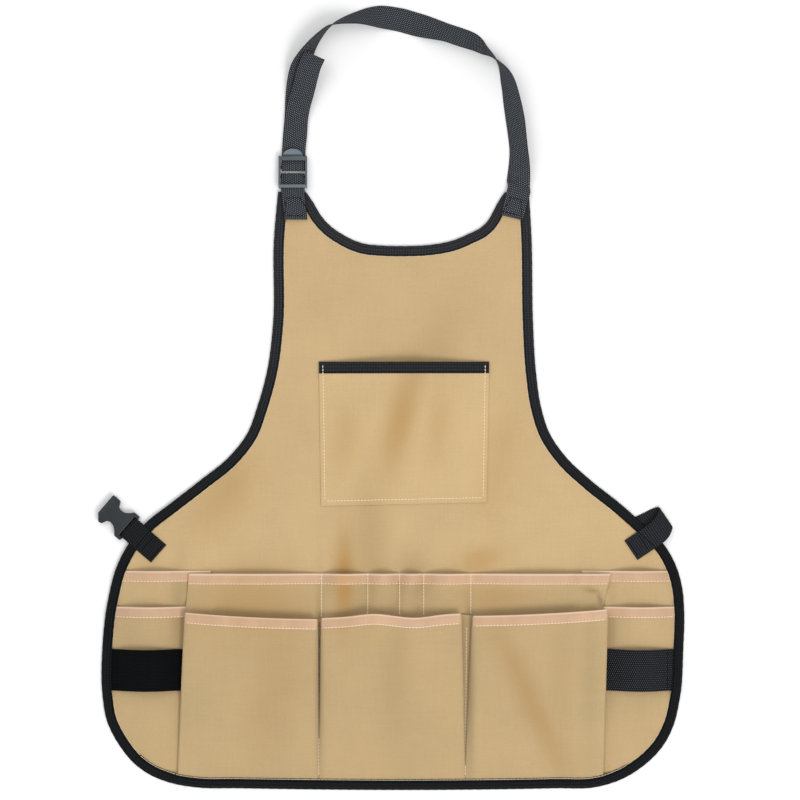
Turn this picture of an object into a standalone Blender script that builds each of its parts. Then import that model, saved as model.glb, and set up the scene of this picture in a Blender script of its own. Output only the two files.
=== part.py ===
"""A gardening apron lying flat on the floor, front side up.

Metres, +X to the wearer's left as seen from above, +Y towards the neck, +Z up.
The origin is on the floor under the middle of the apron's bounding box.
Each layer is worked out from what already lies beneath it, so the pockets, tapes
and webbing follow the body panel and each other.
"""

import math

import bmesh
import bpy
from mathutils import Matrix, Vector
from mathutils.bvhtree import BVHTree

# Overall sizes
BODY_LENGTH = 0.638
SKIRT_WIDTH = 0.623
STRAP_RISE = 0.199
BUCKLE_PROUD = 0.0043

# Thicknesses and clearances
CLOTH = 0.001
GAP = 0.0003
TAPE_WALL = 0.001
WEBBING = 0.0013

# How closely a layer is compared with what lies beneath it
SAMPLE_STEP = 0.0022
CLEAR = GAP + 0.00005

# Edge binding and mouth tapes
BINDING_WIDTH = 0.011
TAPE_WIDTH = 0.0108
CHEST_BINDING_WIDTH = 0.0113

# Chest pocket
CHEST_POCKET_WIDTH = 0.182
CHEST_POCKET_HEIGHT = 0.151
CHEST_POCKET_MOUTH = 0.455
CHEST_POCKET_ASIDE = 0.0118
CHEST_POCKET_PUFF = 0.0105
CHEST_POCKET_TAPER = 0.028
CHEST_POCKET_SKEW = 0.004

# Upper pocket row, sewn into six compartments
UPPER_ROW_WIDTH = 0.4494
UPPER_ROW_DEPTH = 0.078
UPPER_ROW_MOUTH = 0.229
UPPER_ROW_ASIDE = 0.007
UPPER_ROW_PUFF = 0.0085
UPPER_ROW_NARROWING = 0.011
UPPER_ROW_NARROWED_BY = 0.036
UPPER_ROW_SEAMS = (0.0, 0.3143, 0.4245, 0.5002, 0.5574, 0.6693, 1.0)

# Lower pocket row, one pleated cloth with three pockets
LOWER_ROW_WIDTH = 0.4482
LOWER_ROW_MOUTH = 0.185
LOWER_ROW_ASIDE = 0.0035
LOWER_ROW_STAND = 0.0085
LOWER_ROW_PUFF = 0.0055
PLEAT_DEPTH = 0.0115
PLEAT_SEWN_ABOVE = 0.0025
STRIP_UNDERLAP = 0.003

# Side pockets, a back one and a front one on each side
BACK_SIDE_MOUTH = 0.2319
FRONT_SIDE_MOUTH = 0.1937
BACK_SIDE_DEPTH = 0.160
SIDE_POCKET_PUFF = 0.0074
SIDE_POCKET_UNDERLAP = 0.026

# Webbing
STRAP_WIDTH = 0.025
TOOL_LOOP_WIDTH = 0.0444
TOOL_LOOP_HEIGHT = 0.1273
TOOL_LOOP_PUFF = 0.0072
TOOL_LOOP_UNDERLAP = 0.0075
SHOULDER_TAB_LENGTH = 0.030
SHOULDER_TAB_DRIFT = 0.003
SHOULDER_TAB_SEWN = 0.012
SHOULDER_TAB_FRONT_RISE = 0.0075
SHOULDER_TAB_BACK_RISE = 0.0025
STRAP_SEWN = 0.0279
STRAP_FLAT = -0.0028
STRAP_CLIMB = 0.0075
STRAP_LEAN = 0.25

# Waist tab, waist loop and side-release buckle
WAIST_TAB_LENGTH = 0.0417
WAIST_TAB_TURN = 139.0
WAIST_LOOP_LENGTH = 0.0505
WAIST_LOOP_TURN = 34.0
WAIST_LOOP_RISE = 0.0088
WAIST_BUCKLE_LENGTH = 0.0372
WAIST_BUCKLE_WIDTH = 0.0326
WAIST_BUCKLE_HEIGHT = 0.0084
BUCKLE_MOUTH_WIDTH = 0.0205
BUCKLE_MOUTH_HEIGHT = 0.0048
BUCKLE_MOUTH_DEPTH = 0.0225
BUCKLE_BAR = 0.0024
BUCKLE_REAR_WALL = 0.0002
BUCKLE_EAR_ROOM = 0.0009
BUCKLE_EDGE = 0.0006

# Ladder-lock buckle of the neck strap
LADDER_LENGTH = 0.0345
LADDER_WIDTH = 0.0304
LADDER_RAIL = 0.002
LADDER_BAR = 0.0018
THUMB_TAB_WIDTH = 0.022
THUMB_TAB_REACH = 0.0085
LADDER_ABOVE_SHOULDER = 0.0035
LADDER_ASIDE = 0.0005
LADDER_BAR_HALF = 0.002
STRAP_BAR_FRONT = 0.0015
LOOP_BAR_FRONT = 0.001

# Where the origin lies in the apron
SKIRT_X = BUCKLE_PROUD / 2
HEM_Y = -(BODY_LENGTH + STRAP_RISE) / 2
SHOULDER_Y = HEM_Y + BODY_LENGTH
PANEL_FLOOR = TAPE_WALL + GAP

# The outer edge, from the wearer's right shoulder down round the skirt and up again.
# Columns: across, as a share of half the skirt's width; up, as a share of the body's length.
SKIRT_EDGE = (
    (-0.395, 1.000),
    (-0.409, 0.919),
    (-0.412, 0.779),
    (-0.433, 0.698),
    (-0.467, 0.638),
    (-0.498, 0.597),
    (-0.560, 0.557),
    (-0.660, 0.517),
    (-0.766, 0.477),
    (-0.849, 0.445),
    (-0.904, 0.413),
    (-0.945, 0.376),
    (-0.979, 0.315),
    (-0.998, 0.235),
    (-0.997, 0.154),
    (-0.983, 0.114),
    (-0.942, 0.0738),
    (-0.893, 0.0436),
    (-0.838, 0.0235),
    (-0.759, 0.0084),
    (-0.680, 0.0017),
    (-0.526, 0.000),
    (0.560, 0.000),
    (0.694, 0.0017),
    (0.777, 0.0134),
    (0.849, 0.0336),
    (0.897, 0.0537),
    (0.931, 0.0738),
    (0.962, 0.104),
    (0.986, 0.154),
    (0.997, 0.235),
    (1.000, 0.295),
    (0.993, 0.336),
    (0.969, 0.376),
    (0.931, 0.408),
    (0.869, 0.438),
    (0.780, 0.477),
    (0.677, 0.517),
    (0.591, 0.557),
    (0.536, 0.597),
    (0.509, 0.638),
    (0.491, 0.698),
    (0.481, 0.779),
    (0.476, 0.919),
    (0.467, 1.000),
)

# The neck scoop, from the wearer's left shoulder to the right one, in the same shares.
NECK_EDGE = (
    (0.385, 1.000),
    (0.373, 0.992),
    (0.359, 0.981),
    (0.344, 0.967),
    (0.325, 0.951),
    (0.299, 0.939),
    (0.262, 0.930),
    (0.210, 0.919),
    (0.127, 0.911),
    (0.041, 0.909),
    (-0.045, 0.910),
    (-0.100, 0.913),
    (-0.141, 0.920),
    (-0.175, 0.929),
    (-0.203, 0.938),
    (-0.230, 0.950),
    (-0.251, 0.963),
    (-0.271, 0.980),
    (-0.299, 1.000),
)

# Where the binding is joined, as shares of the skirt edge's length.
BINDING_JOINS = (0.355, 0.636)

# Soft humps of the body panel where it doesn't lie flat.
# Columns: across and up as above; half length and half width, as shares of half the skirt's
# width; height, as a share of the deepest hump; turn of the hump's length from +X, in degrees.
DEEPEST_HUMP = 0.0034
HUMPS = (
    (-0.12, 0.740, 0.42, 0.22, 0.60, 12.0),
    (0.10, 0.640, 0.34, 0.20, 0.75, 80.0),
    (-0.45, 0.485, 0.40, 0.20, 0.85, -38.0),
    (0.42, 0.475, 0.40, 0.20, 0.80, 40.0),
    (-0.15, 0.425, 0.26, 0.17, 1.00, 74.0),
    (0.22, 0.400, 0.30, 0.17, 0.65, -20.0),
)
HUMP_EDGE_FADE = 0.036

# Each lower pocket's folded edges, as shares of the lower row's width from its left end.
# Columns: left and right at the mouth, left and right at the hem, then how far the mouth lies
# above the row's mouth line at its left, middle and right, as shares of the tape's width.
LOWER_POCKETS = (
    (0.0000, 0.3113, -0.0186, 0.3137, 0.29, -0.14, -0.37),
    (0.3235, 0.6526, 0.3170, 0.6627, -0.27, 0.05, 0.19),
    (0.6832, 1.0000, 0.6660, 0.9912, -0.04, 0.19, 0.61),
)

# The neck strap from the ladder-lock buckle round to the wearer's left shoulder.
# Columns: across, as a share of the span between the straps; up from the shoulder, as a
# share of the strap's rise; roll of the webbing, in degrees (90 stands on its edge).
STRAP_SPAN = 0.2418
STRAP_ROUTE = (
    (0.0000, 0.190, 0.0),
    (0.0050, 0.290, 0.0),
    (0.0130, 0.407, 0.0),
    (0.0160, 0.499, 4.0),
    (0.0235, 0.591, 14.0),
    (0.0330, 0.657, 30.0),
    (0.0510, 0.711, 48.0),
    (0.0730, 0.762, 65.0),
    (0.0996, 0.808, 76.0),
    (0.1260, 0.845, 84.0),
    (0.1500, 0.874, 90.0),
    (0.1880, 0.899, 102.0),
    (0.2345, 0.917, 115.0),
    (0.2900, 0.931, 130.0),
    (0.3430, 0.938, 150.0),
    (0.4000, 0.937, 172.0),
    (0.4620, 0.926, 180.0),
    (0.5440, 0.899, 178.0),
    (0.6080, 0.876, 161.0),
    (0.6750, 0.852, 147.0),
    (0.7370, 0.827, 147.0),
    (0.7900, 0.803, 143.0),
    (0.8430, 0.754, 119.0),
    (0.8780, 0.724, 103.0),
    (0.9070, 0.686, 90.0),
    (0.9250, 0.651, 76.0),
    (0.9425, 0.602, 60.0),
    (0.9560, 0.543, 52.0),
    (0.9646, 0.488, 46.0),
    (0.9800, 0.385, 40.0),
    (0.9890, 0.298, 42.0),
    (0.9950, 0.228, 42.0),
    (0.9980, 0.136, 28.0),
    (0.9950, 0.054, 10.0),
)

# The strap's free tail, which lies on the strap above the buckle, in the same columns.
TAIL_ROUTE = (
    (0.0960, 0.722, 14.0),
    (0.0770, 0.672, 14.0),
    (0.0584, 0.602, 12.0),
    (0.0420, 0.532, 8.0),
    (0.0265, 0.472, 3.0),
    (0.0150, 0.407, 0.0),
    (0.0080, 0.298, 0.0),
    (0.0020, 0.232, 0.0),
)
TAIL_CLEARANCE = 0.0006

# The waist loop's webbing, from its sewn end out over the edge, round and back underneath.
# Columns: along, as a share of the loop's length; aside, as a share of the webbing's width;
# height between the lower run, at 0, and the upper run, at 1.
WAIST_LOOP_ROUTE = (
    (0.70, 0.02, 1.02),
    (0.84, 0.10, 1.04),
    (0.94, 0.22, 0.92),
    (0.99, 0.30, 0.72),
    (1.00, 0.35, 0.50),
    (0.985, 0.38, 0.28),
    (0.94, 0.42, 0.10),
    (0.86, 0.46, 0.0),
)
WAIST_LOOP_RETURN = ((0.62, 0.52), (0.42, 0.59), (0.14, 0.68))

# Half outline of the waist buckle. Columns: along from the rear of its ears, as a share of
# its length; half width, as a share of half its width.
BUCKLE_SIDE = (
    (0.000, 0.90),
    (0.020, 1.00),
    (0.220, 1.00),
    (0.290, 0.80),
    (0.380, 0.62),
    (0.470, 0.52),
    (0.560, 0.50),
    (0.650, 0.59),
    (0.700, 0.84),
    (0.730, 0.95),
    (0.930, 0.98),
    (1.000, 0.93),
)
BUCKLE_EAR_SHARE = 0.125
BUCKLE_CORNER = (0.822, 1.00, 0.55)

KHAKI = (0.565, 0.413, 0.203)
TAPE_TAN = (0.600, 0.412, 0.287)
BLACK_CLOTH = (0.010, 0.011, 0.012)
BLACK_WEBBING = (0.018, 0.020, 0.022)
BLACK_PLASTIC = (0.040, 0.050, 0.060)


def clear_scene():
    for item in list(bpy.data.objects):
        bpy.data.objects.remove(item, do_unlink=True)


def material(name, colour, roughness):
    made = bpy.data.materials.new(name)
    made.use_nodes = True
    shader = made.node_tree.nodes["Principled BSDF"]
    shader.inputs["Base Color"].default_value = (*colour, 1.0)
    shader.inputs["Roughness"].default_value = roughness
    shader.inputs["Metallic"].default_value = 0.0
    made.diffuse_color = (*colour, 1.0)
    return made


def lerp(first, last, share):
    return first + (last - first) * share


def ease(share):
    share = min(max(share, 0.0), 1.0)
    return share * share * (3.0 - 2.0 * share)


def bulge(share):
    """A soft swell that is flat at both ends."""
    return math.sin(math.pi * min(max(share, 0.0), 1.0)) ** 1.5


class Pile:
    """The pieces laid down so far, asked from above for their highest point."""

    HIGH = 1.0

    def __init__(self):
        self.trees = []

    def add(self, bm):
        self.trees.append(BVHTree.FromBMesh(bm))

    def at(self, x, y):
        top = 0.0
        for tree in self.trees:
            hit = tree.ray_cast(Vector((x, y, self.HIGH)), Vector((0.0, 0.0, -1.0)))
            if hit[0] is not None:
                top = max(top, hit[0].z)
        return top

    def near(self, x, y):
        """The highest point here and a little to each side, so that no edge is missed."""
        step = SAMPLE_STEP * 0.6
        sides = ((0.0, 0.0), (step, 0.0), (-step, 0.0), (0.0, step), (0.0, -step))
        return max(self.at(x + dx, y + dy) for dx, dy in sides)

    def top(self, x, y, reach_x, reach_y):
        around = (-1.1, -0.75, -0.4, 0.0, 0.4, 0.75, 1.1)
        return max(
            self.at(x + reach_x * i, y + reach_y * j) for i in around for j in around
        )


PILE = Pile()


def split_weights(a, b):
    """The corners' weights at (a, b) of a square cell, for either way of halving it."""
    first = (1 - a, a - b, 0.0, b) if a >= b else (1 - b, 0.0, b - a, a)
    second = (1 - a - b, a, b, 0.0) if a + b <= 1 else (0.0, 1 - b, 1 - a, a + b - 1)
    return first, second


def marks_along(length):
    count = max(2, math.ceil(length / SAMPLE_STEP))
    return [k / count for k in range(count + 1)]


def settled(rows, beyond=0.0):
    """Raises the points of a sheet's underside, given row by row, until the whole sheet
    clears the pile. beyond is how far past its first row it must be clear as well."""
    for row in rows:
        for point in row:
            point.z = max(point.z, PILE.at(point.x, point.y) + CLEAR)
    for j in range(len(rows) - 1):
        for i in range(len(rows[0]) - 1):
            corners = (rows[j][i], rows[j][i + 1], rows[j + 1][i], rows[j + 1][i + 1])
            depth = (corners[2] - corners[0]).xy.length
            down = marks_along(depth)
            if j == 0 and beyond:
                down.insert(0, -beyond / depth)
            for b in down:
                for a in marks_along((corners[1] - corners[0]).xy.length):
                    start = corners[0].lerp(corners[1], a)
                    stop = corners[2].lerp(corners[3], a)
                    spot = start + (stop - start) * b
                    need = PILE.near(spot.x, spot.y) + CLEAR
                    for weights in split_weights(a, max(b, 0.0)):
                        lift_corners(corners, weights, need)
    return rows


def lift_corners(corners, weights, need):
    """Raises the low corners of a cell just so far that its surface is as high as needed."""
    short = need - sum(w * corner.z for w, corner in zip(weights, corners))
    if short <= 0:
        return
    room = sum(w * max(need - corner.z, 0.0) for w, corner in zip(weights, corners))
    for w, corner in zip(weights, corners):
        if w > 0:
            corner.z += max(need - corner.z, 0.0) * short / room


def finish(name, bm, made_of, smooth_angle=35.0, on_pile=True):
    """Turns the faces outwards and makes the object."""
    bm.normal_update()
    bmesh.ops.recalc_face_normals(bm, faces=bm.faces[:])
    if on_pile:
        PILE.add(bm)
    mesh = bpy.data.meshes.new(name)
    bm.to_mesh(mesh)
    bm.free()
    mesh.shade_smooth()
    mesh.set_sharp_from_angle(angle=math.radians(smooth_angle))
    mesh.materials.append(made_of)
    made = bpy.data.objects.new(name, mesh)
    bpy.context.scene.collection.objects.link(made)
    return made


def sheet(low, high):
    """A closed sheet between two grids of points, both given row by row."""
    columns = len(low[0])
    bm = bmesh.new()
    place = bm.verts.layers.int.new("place")
    bmesh.ops.create_grid(
        bm, x_segments=columns - 1, y_segments=len(low) - 1, size=1.0
    )
    for index, vert in enumerate(bm.verts):
        vert[place] = index
    bmesh.ops.triangulate(bm, faces=bm.faces[:], quad_method="FIXED")
    grown = bmesh.ops.extrude_face_region(bm, geom=bm.faces[:])["geom"]
    raised = {item for item in grown if isinstance(item, bmesh.types.BMVert)}
    for vert in bm.verts:
        row, column = divmod(vert[place], columns)
        vert.co = (high if vert in raised else low)[row][column]
    return bm


def sweep(rings):
    """A closed solid through rings of as many points each, by extruding the first one."""
    bm = bmesh.new()
    place = bm.verts.layers.int.new("place")
    corners = [bm.verts.new(point) for point in rings[0]]
    for index, vert in enumerate(corners):
        vert[place] = index
    cap = bm.faces.new(corners)
    for ring in rings[1:]:
        grown = bmesh.ops.extrude_face_region(bm, geom=[cap, *cap.edges])["geom"]
        for item in grown:
            if isinstance(item, bmesh.types.BMVert):
                item.co = ring[item[place]]
            elif isinstance(item, bmesh.types.BMFace):
                cap = item
    return bm


def raised(rows, height):
    return [[point + Vector((0.0, 0.0, height)) for point in row] for row in rows]


def curve_through(points, step):
    """A smooth line through the points, with a point about every step."""
    count = len(points)
    spans = [(points[i + 1] - points[i]).length for i in range(count - 1)]
    slopes = [(points[i + 1] - points[i]) / spans[i] for i in range(count - 1)]
    tangents = [slopes[0]]
    for i in range(1, count - 1):
        weight = spans[i] + spans[i - 1]
        tangents.append((slopes[i - 1] * spans[i] + slopes[i] * spans[i - 1]) / weight)
    tangents.append(slopes[-1])
    line = []
    for i, span in enumerate(spans):
        pieces = max(1, round(span / step))
        for k in range(pieces):
            t = k / pieces
            line.append(
                points[i] * (2 * t**3 - 3 * t**2 + 1)
                + tangents[i] * span * (t**3 - 2 * t**2 + t)
                + points[i + 1] * (3 * t**2 - 2 * t**3)
                + tangents[i + 1] * span * (t**3 - t**2)
            )
    line.append(points[-1])
    return line


def thinned(line, turn, reach):
    """The line without the points that a straight stretch doesn't need."""
    kept = [line[0], line[1]]
    for i in range(2, len(line) - 1):
        before = kept[-1] - kept[-2]
        after = line[i + 1] - line[i]
        bent = before.angle(after) > math.radians(turn)
        if bent or (line[i] - kept[-1]).length > reach:
            kept.append(line[i])
    kept.append(line[-1])
    return kept


def inward_normals(line):
    """The left-hand normal of each point, which is inwards on both edges."""
    normals = []
    for i in range(len(line)):
        along = line[min(i + 1, len(line) - 1)] - line[max(i - 1, 0)]
        normals.append(Vector((-along.y, along.x)).normalized())
    return normals


def share_points(table):
    return [
        Vector((SKIRT_X + across * SKIRT_WIDTH / 2, HEM_Y + up * BODY_LENGTH))
        for across, up in table
    ]


def edge_line(table):
    fine = curve_through(share_points(table), 0.006)
    return thinned(fine, 8.0, 0.026)


def inset(line, distance):
    return [p + n * distance for p, n in zip(line, inward_normals(line))]


SKIRT_LINE = edge_line(SKIRT_EDGE)
NECK_LINE = edge_line(NECK_EDGE)


def side_x(line, y, side):
    """Where the line crosses the height y on the left (-1) or right (+1) side."""
    crossings = []
    for first, last in zip(line, line[1:]):
        low, high = sorted((first.y, last.y))
        if low <= y <= high and high > low:
            crossings.append(lerp(first.x, last.x, (y - first.y) / (last.y - first.y)))
    return side * max(side * x for x in crossings)


def hem_edge_y(x):
    """How high the apron's outer edge lies at its bottom, at this x."""
    crossings = []
    for first, last in zip(SKIRT_LINE, SKIRT_LINE[1:]):
        low, high = sorted((first.x, last.x))
        if low <= x <= high and high > low:
            crossings.append(lerp(first.y, last.y, (x - first.x) / (last.x - first.x)))
    return min(crossings)


def distance_to_edge(point):
    nearest = 1.0
    for line in (SKIRT_LINE, NECK_LINE):
        for first, last in zip(line, line[1:]):
            run = last - first
            share = min(max((point - first).dot(run) / run.dot(run), 0.0), 1.0)
            nearest = min(nearest, (point - first - run * share).length)
    return nearest


def hump_height(x, y):
    """How far the body panel rises off its flat lay at this place."""
    half = SKIRT_WIDTH / 2
    total = 0.0
    for across, up, half_length, half_width, height, turn in HUMPS:
        dx = x - SKIRT_X - across * half
        dy = y - HEM_Y - up * BODY_LENGTH
        cos, sin = math.cos(math.radians(turn)), math.sin(math.radians(turn))
        along = (dx * cos + dy * sin) / (half_length * half)
        aside = (dy * cos - dx * sin) / (half_width * half)
        away = math.hypot(along, aside)
        if away < 1.0:
            total += DEEPEST_HUMP * height * math.cos(math.pi / 2 * away) ** 2
    return total * ease(distance_to_edge(Vector((x, y))) / HUMP_EDGE_FADE)


# Where the waist tab and the waist loop cross the edge, and how the edge rises over them.
TAB_LIFT = WEBBING + GAP
TAB_LIFT_REACH = 0.030
TAB_LIFT_FADE = 0.080
TAB_CROSSINGS = tuple(share_points(((-0.840, 0.415), (0.835, 0.425))))
WAIST_TAB_START = share_points(((-0.8038, 0.3936),))[0]
WAIST_LOOP_START = share_points(((0.8158, 0.3992),))[0]


def edge_lift(x, y):
    lift = 0.0
    for crossing in TAB_CROSSINGS:
        away = (Vector((x, y)) - crossing).length - TAB_LIFT_REACH
        lift = max(lift, TAB_LIFT * (1.0 - ease(away / TAB_LIFT_FADE)))
    return lift


def panel_bottom(x, y):
    return PANEL_FLOOR + edge_lift(x, y) + hump_height(x, y)


# Size of the body panel's cells between its humps
PANEL_CELL = 0.0297


def build_body_panel(canvas):
    inner = TAPE_WALL + GAP
    outline = inset(SKIRT_LINE, inner) + inset(NECK_LINE, inner)
    bm = bmesh.new()
    bm.faces.new([bm.verts.new((p.x, p.y, 0.0)) for p in outline])
    half_count = int(SKIRT_WIDTH / 2 / PANEL_CELL) + 1
    for i in range(-half_count, half_count + 1):
        bmesh.ops.bisect_plane(
            bm,
            geom=bm.verts[:] + bm.edges[:] + bm.faces[:],
            dist=1e-6,
            plane_co=(SKIRT_X + i * PANEL_CELL, 0.0, 0.0),
            plane_no=(1.0, 0.0, 0.0),
        )
    for i in range(int(BODY_LENGTH / PANEL_CELL) + 1):
        bmesh.ops.bisect_plane(
            bm,
            geom=bm.verts[:] + bm.edges[:] + bm.faces[:],
            dist=1e-6,
            plane_co=(0.0, HEM_Y + (i + 0.5) * PANEL_CELL, 0.0),
            plane_no=(0.0, 1.0, 0.0),
        )
    bmesh.ops.triangulate(bm, faces=bm.faces[:])
    for vert in bm.verts:
        vert.co.z = panel_bottom(vert.co.x, vert.co.y)
    grown = bmesh.ops.extrude_face_region(bm, geom=bm.faces[:])["geom"]
    for item in grown:
        if isinstance(item, bmesh.types.BMVert):
            item.co.z += CLOTH
    return finish("body_panel", bm, canvas)


def pocket_rows(depth_shares, columns, place, lift, mouth_room=True):
    """The underside of a pocket's cloth, row by row from its mouth to its bottom.

    place(u, v) gives a point of the flat cloth and lift(u, v) how far it stands off what
    lies beneath. At the mouth there is room under the cloth for the tape's back flange.
    """
    rows = [[Vector((*place(u, v), 0.0)) for u in columns] for v in depth_shares]
    settled(rows, beyond=GAP + TAPE_WALL if mouth_room else 0.0)
    for j, v in enumerate(depth_shares):
        for i, u in enumerate(columns):
            rows[j][i].z += lift(u, v)
    if mouth_room:
        straighten_mouth(rows, TAPE_WALL + GAP)
    return rows


def straighten_mouth(rows, room):
    """Keeps the taped mouth level from its edge to the tape's lower edge."""
    for mouth, foot in zip(rows[0], rows[1]):
        mouth.z = foot.z = max(mouth.z, foot.z) + room


def below_tape(depth_share, tape_share):
    """How far down a pocket a place is, from 0 at its tape's lower edge to 1."""
    return max(depth_share - tape_share, 0.0) / (1.0 - tape_share)


def mouth_tape(name, rows, made_of, first=0, last=None):
    """A tape folded over the mouth of a cloth whose first two rows are its mouth and the
    tape's lower edge."""
    last = len(rows[0]) - 1 if last is None else last
    rings = []
    for mouth, foot in list(zip(rows[0], rows[1]))[first : last + 1]:
        over, under = CLOTH + GAP, -GAP
        rings.append(
            [
                foot + Vector((0.0, 0.0, over)),
                foot + Vector((0.0, 0.0, over + TAPE_WALL)),
                mouth + Vector((0.0, GAP + TAPE_WALL, over + TAPE_WALL)),
                mouth + Vector((0.0, GAP + TAPE_WALL, under - TAPE_WALL)),
                foot + Vector((0.0, 0.0, under - TAPE_WALL)),
                foot + Vector((0.0, 0.0, under)),
                mouth + Vector((0.0, GAP, under)),
                mouth + Vector((0.0, GAP, over)),
            ]
        )
    return finish(name, sweep(rings), made_of)


def row_left():
    return SKIRT_X + LOWER_ROW_ASIDE - LOWER_ROW_WIDTH / 2


def lower_row_edge(side, y):
    """The lower row's outer folded edge at the height y, on the left or right side."""
    down = (HEM_Y + LOWER_ROW_MOUTH - y) / LOWER_ROW_MOUTH
    pocket = LOWER_POCKETS[0] if side < 0 else LOWER_POCKETS[-1]
    mouth, hem = (pocket[0], pocket[2]) if side < 0 else (pocket[1], pocket[3])
    return row_left() + LOWER_ROW_WIDTH * lerp(mouth, hem, down)


def build_side_pocket(side, mouth_up, bottom_up, names, canvas, satin):
    """A side pocket, sewn into the binding at its outer edge and under the rows at its inner
    one. side is -1 for the left of the view and +1 for the right."""
    outer_line = inset(SKIRT_LINE, BINDING_WIDTH * 0.4)
    top_y, bottom_y = HEM_Y + mouth_up, HEM_Y + bottom_up
    inner_x = lower_row_edge(side, HEM_Y + LOWER_ROW_MOUTH) - side * SIDE_POCKET_UNDERLAP
    corner_x = side_x(outer_line, bottom_y, side) - side * SIDE_POCKET_UNDERLAP
    inner_low_x = side * min(side * inner_x, side * corner_x)
    seam_outer = BINDING_WIDTH * 0.65
    columns = (0.0, 0.08, 0.20, 0.32, 0.44, 0.56, 0.68, 0.80, 1.0)
    tape_share = TAPE_WIDTH / (top_y - bottom_y)

    def place(u, v):
        y = lerp(top_y, bottom_y, v)
        return lerp(side_x(outer_line, y, side), lerp(inner_x, inner_low_x, v), u), y

    def lift(u, v):
        x, y = place(u, v)
        outer = side_x(outer_line, y, side) - side * seam_outer
        inner = lower_row_edge(side, y) + side * STRIP_UNDERLAP
        share = (x - outer) / (inner - outer)
        return SIDE_POCKET_PUFF * bulge(share) * (1.0 - below_tape(v, tape_share)) ** 1.4

    shares = [0.0, tape_share, 1.6 * tape_share]
    shares += [lerp(shares[-1], 1.0, k / 5) for k in range(1, 6)]
    rows = pocket_rows(shares, columns, place, lift)
    finish(names[0], sheet(rows, raised(rows, CLOTH)), canvas)
    mouth_tape(names[1], rows, satin, first=1)


def build_side_pockets(canvas, satin):
    for side, word in ((-1, "left"), (1, "right")):
        build_side_pocket(
            side,
            BACK_SIDE_MOUTH,
            BACK_SIDE_MOUTH - BACK_SIDE_DEPTH,
            (f"{word}_back_side_pocket", f"{word}_back_side_tape"),
            canvas,
            satin,
        )
    for side, word in ((-1, "left"), (1, "right")):
        build_side_pocket(
            side,
            FRONT_SIDE_MOUTH,
            BINDING_WIDTH * 0.6,
            (f"{word}_front_side_pocket", f"{word}_front_side_tape"),
            canvas,
            satin,
        )


def build_tool_loops(webbing):
    """The wide webbing sewn across each side, open at its top and bottom for a tool."""
    outer_line = inset(SKIRT_LINE, BINDING_WIDTH * 0.45)
    centre_y = HEM_Y + TOOL_LOOP_HEIGHT
    columns = (0.0, 0.08, 0.17, 0.28, 0.40, 0.52, 0.64, 0.76, 0.87, 0.94, 1.0)
    for side, word in ((-1, "left"), (1, "right")):

        def place(u, v):
            y = centre_y + TOOL_LOOP_WIDTH * (0.5 - v)
            outer = side_x(outer_line, y, side)
            inner = lower_row_edge(side, y) - side * TOOL_LOOP_UNDERLAP
            return lerp(outer, inner, u), y

        def lift(u, v):
            return TOOL_LOOP_PUFF * bulge((u - 0.08) / 0.79)

        rows = pocket_rows((0.0, 0.5, 1.0), columns, place, lift, mouth_room=False)
        for column in range(len(columns)):
            level = max(row[column].z for row in rows)
            for row in rows:
                row[column].z = level
        finish(f"{word}_tool_loop", sheet(rows, raised(rows, WEBBING)), webbing)


def build_upper_row(canvas, satin):
    left = SKIRT_X + UPPER_ROW_ASIDE - UPPER_ROW_WIDTH / 2
    top_y = HEM_Y + UPPER_ROW_MOUTH
    columns = []
    for start, stop in zip(UPPER_ROW_SEAMS, UPPER_ROW_SEAMS[1:]):
        parts = 7 if stop - start > 0.2 else 4
        columns += [lerp(start, stop, k / parts) for k in range(parts)]
    columns.append(1.0)
    tape_share = TAPE_WIDTH / UPPER_ROW_DEPTH

    def place(u, v):
        narrowing = UPPER_ROW_NARROWING * min(v * UPPER_ROW_DEPTH / UPPER_ROW_NARROWED_BY, 1.0)
        x = left + u * UPPER_ROW_WIDTH - narrowing * lerp(0.3, 0.7, u)
        return x, top_y - v * UPPER_ROW_DEPTH

    def lift(u, v):
        height = UPPER_ROW_PUFF * (1.0 - below_tape(v, tape_share)) ** 1.5
        for start, stop in zip(UPPER_ROW_SEAMS, UPPER_ROW_SEAMS[1:]):
            if start <= u <= stop:
                return height * bulge((u - start) / (stop - start))
        return 0.0

    shares = [0.0, tape_share, 1.6 * tape_share]
    shares += [lerp(shares[-1], 1.0, k / 4) for k in range(1, 5)]
    rows = pocket_rows(shares, columns, place, lift)
    finish("upper_pocket_row", sheet(rows, raised(rows, CLOTH)), canvas)
    mouth_tape("upper_row_tape", rows, satin)


def build_chest_pocket(canvas, edging):
    centre = SKIRT_X + CHEST_POCKET_ASIDE
    top_y = HEM_Y + CHEST_POCKET_MOUTH
    columns = [k / 9 for k in range(10)]
    tape_share = CHEST_BINDING_WIDTH / CHEST_POCKET_HEIGHT

    def place(u, v):
        half = CHEST_POCKET_WIDTH / 2 * (1.0 - CHEST_POCKET_TAPER * v)
        y = top_y - v * CHEST_POCKET_HEIGHT + CHEST_POCKET_SKEW * v * (u - 0.5)
        return centre + (2 * u - 1) * half, y

    def lift(u, v):
        return CHEST_POCKET_PUFF * bulge(u) * (1.0 - below_tape(v, tape_share)) ** 1.3

    shares = [0.0, tape_share, 1.5 * tape_share]
    shares += [lerp(shares[-1], 1.0, k / 5) for k in range(1, 6)]
    rows = pocket_rows(shares, columns, place, lift)
    finish("chest_pocket", sheet(rows, raised(rows, CLOTH)), canvas)
    mouth_tape("chest_pocket_binding", rows, edging)


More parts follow.
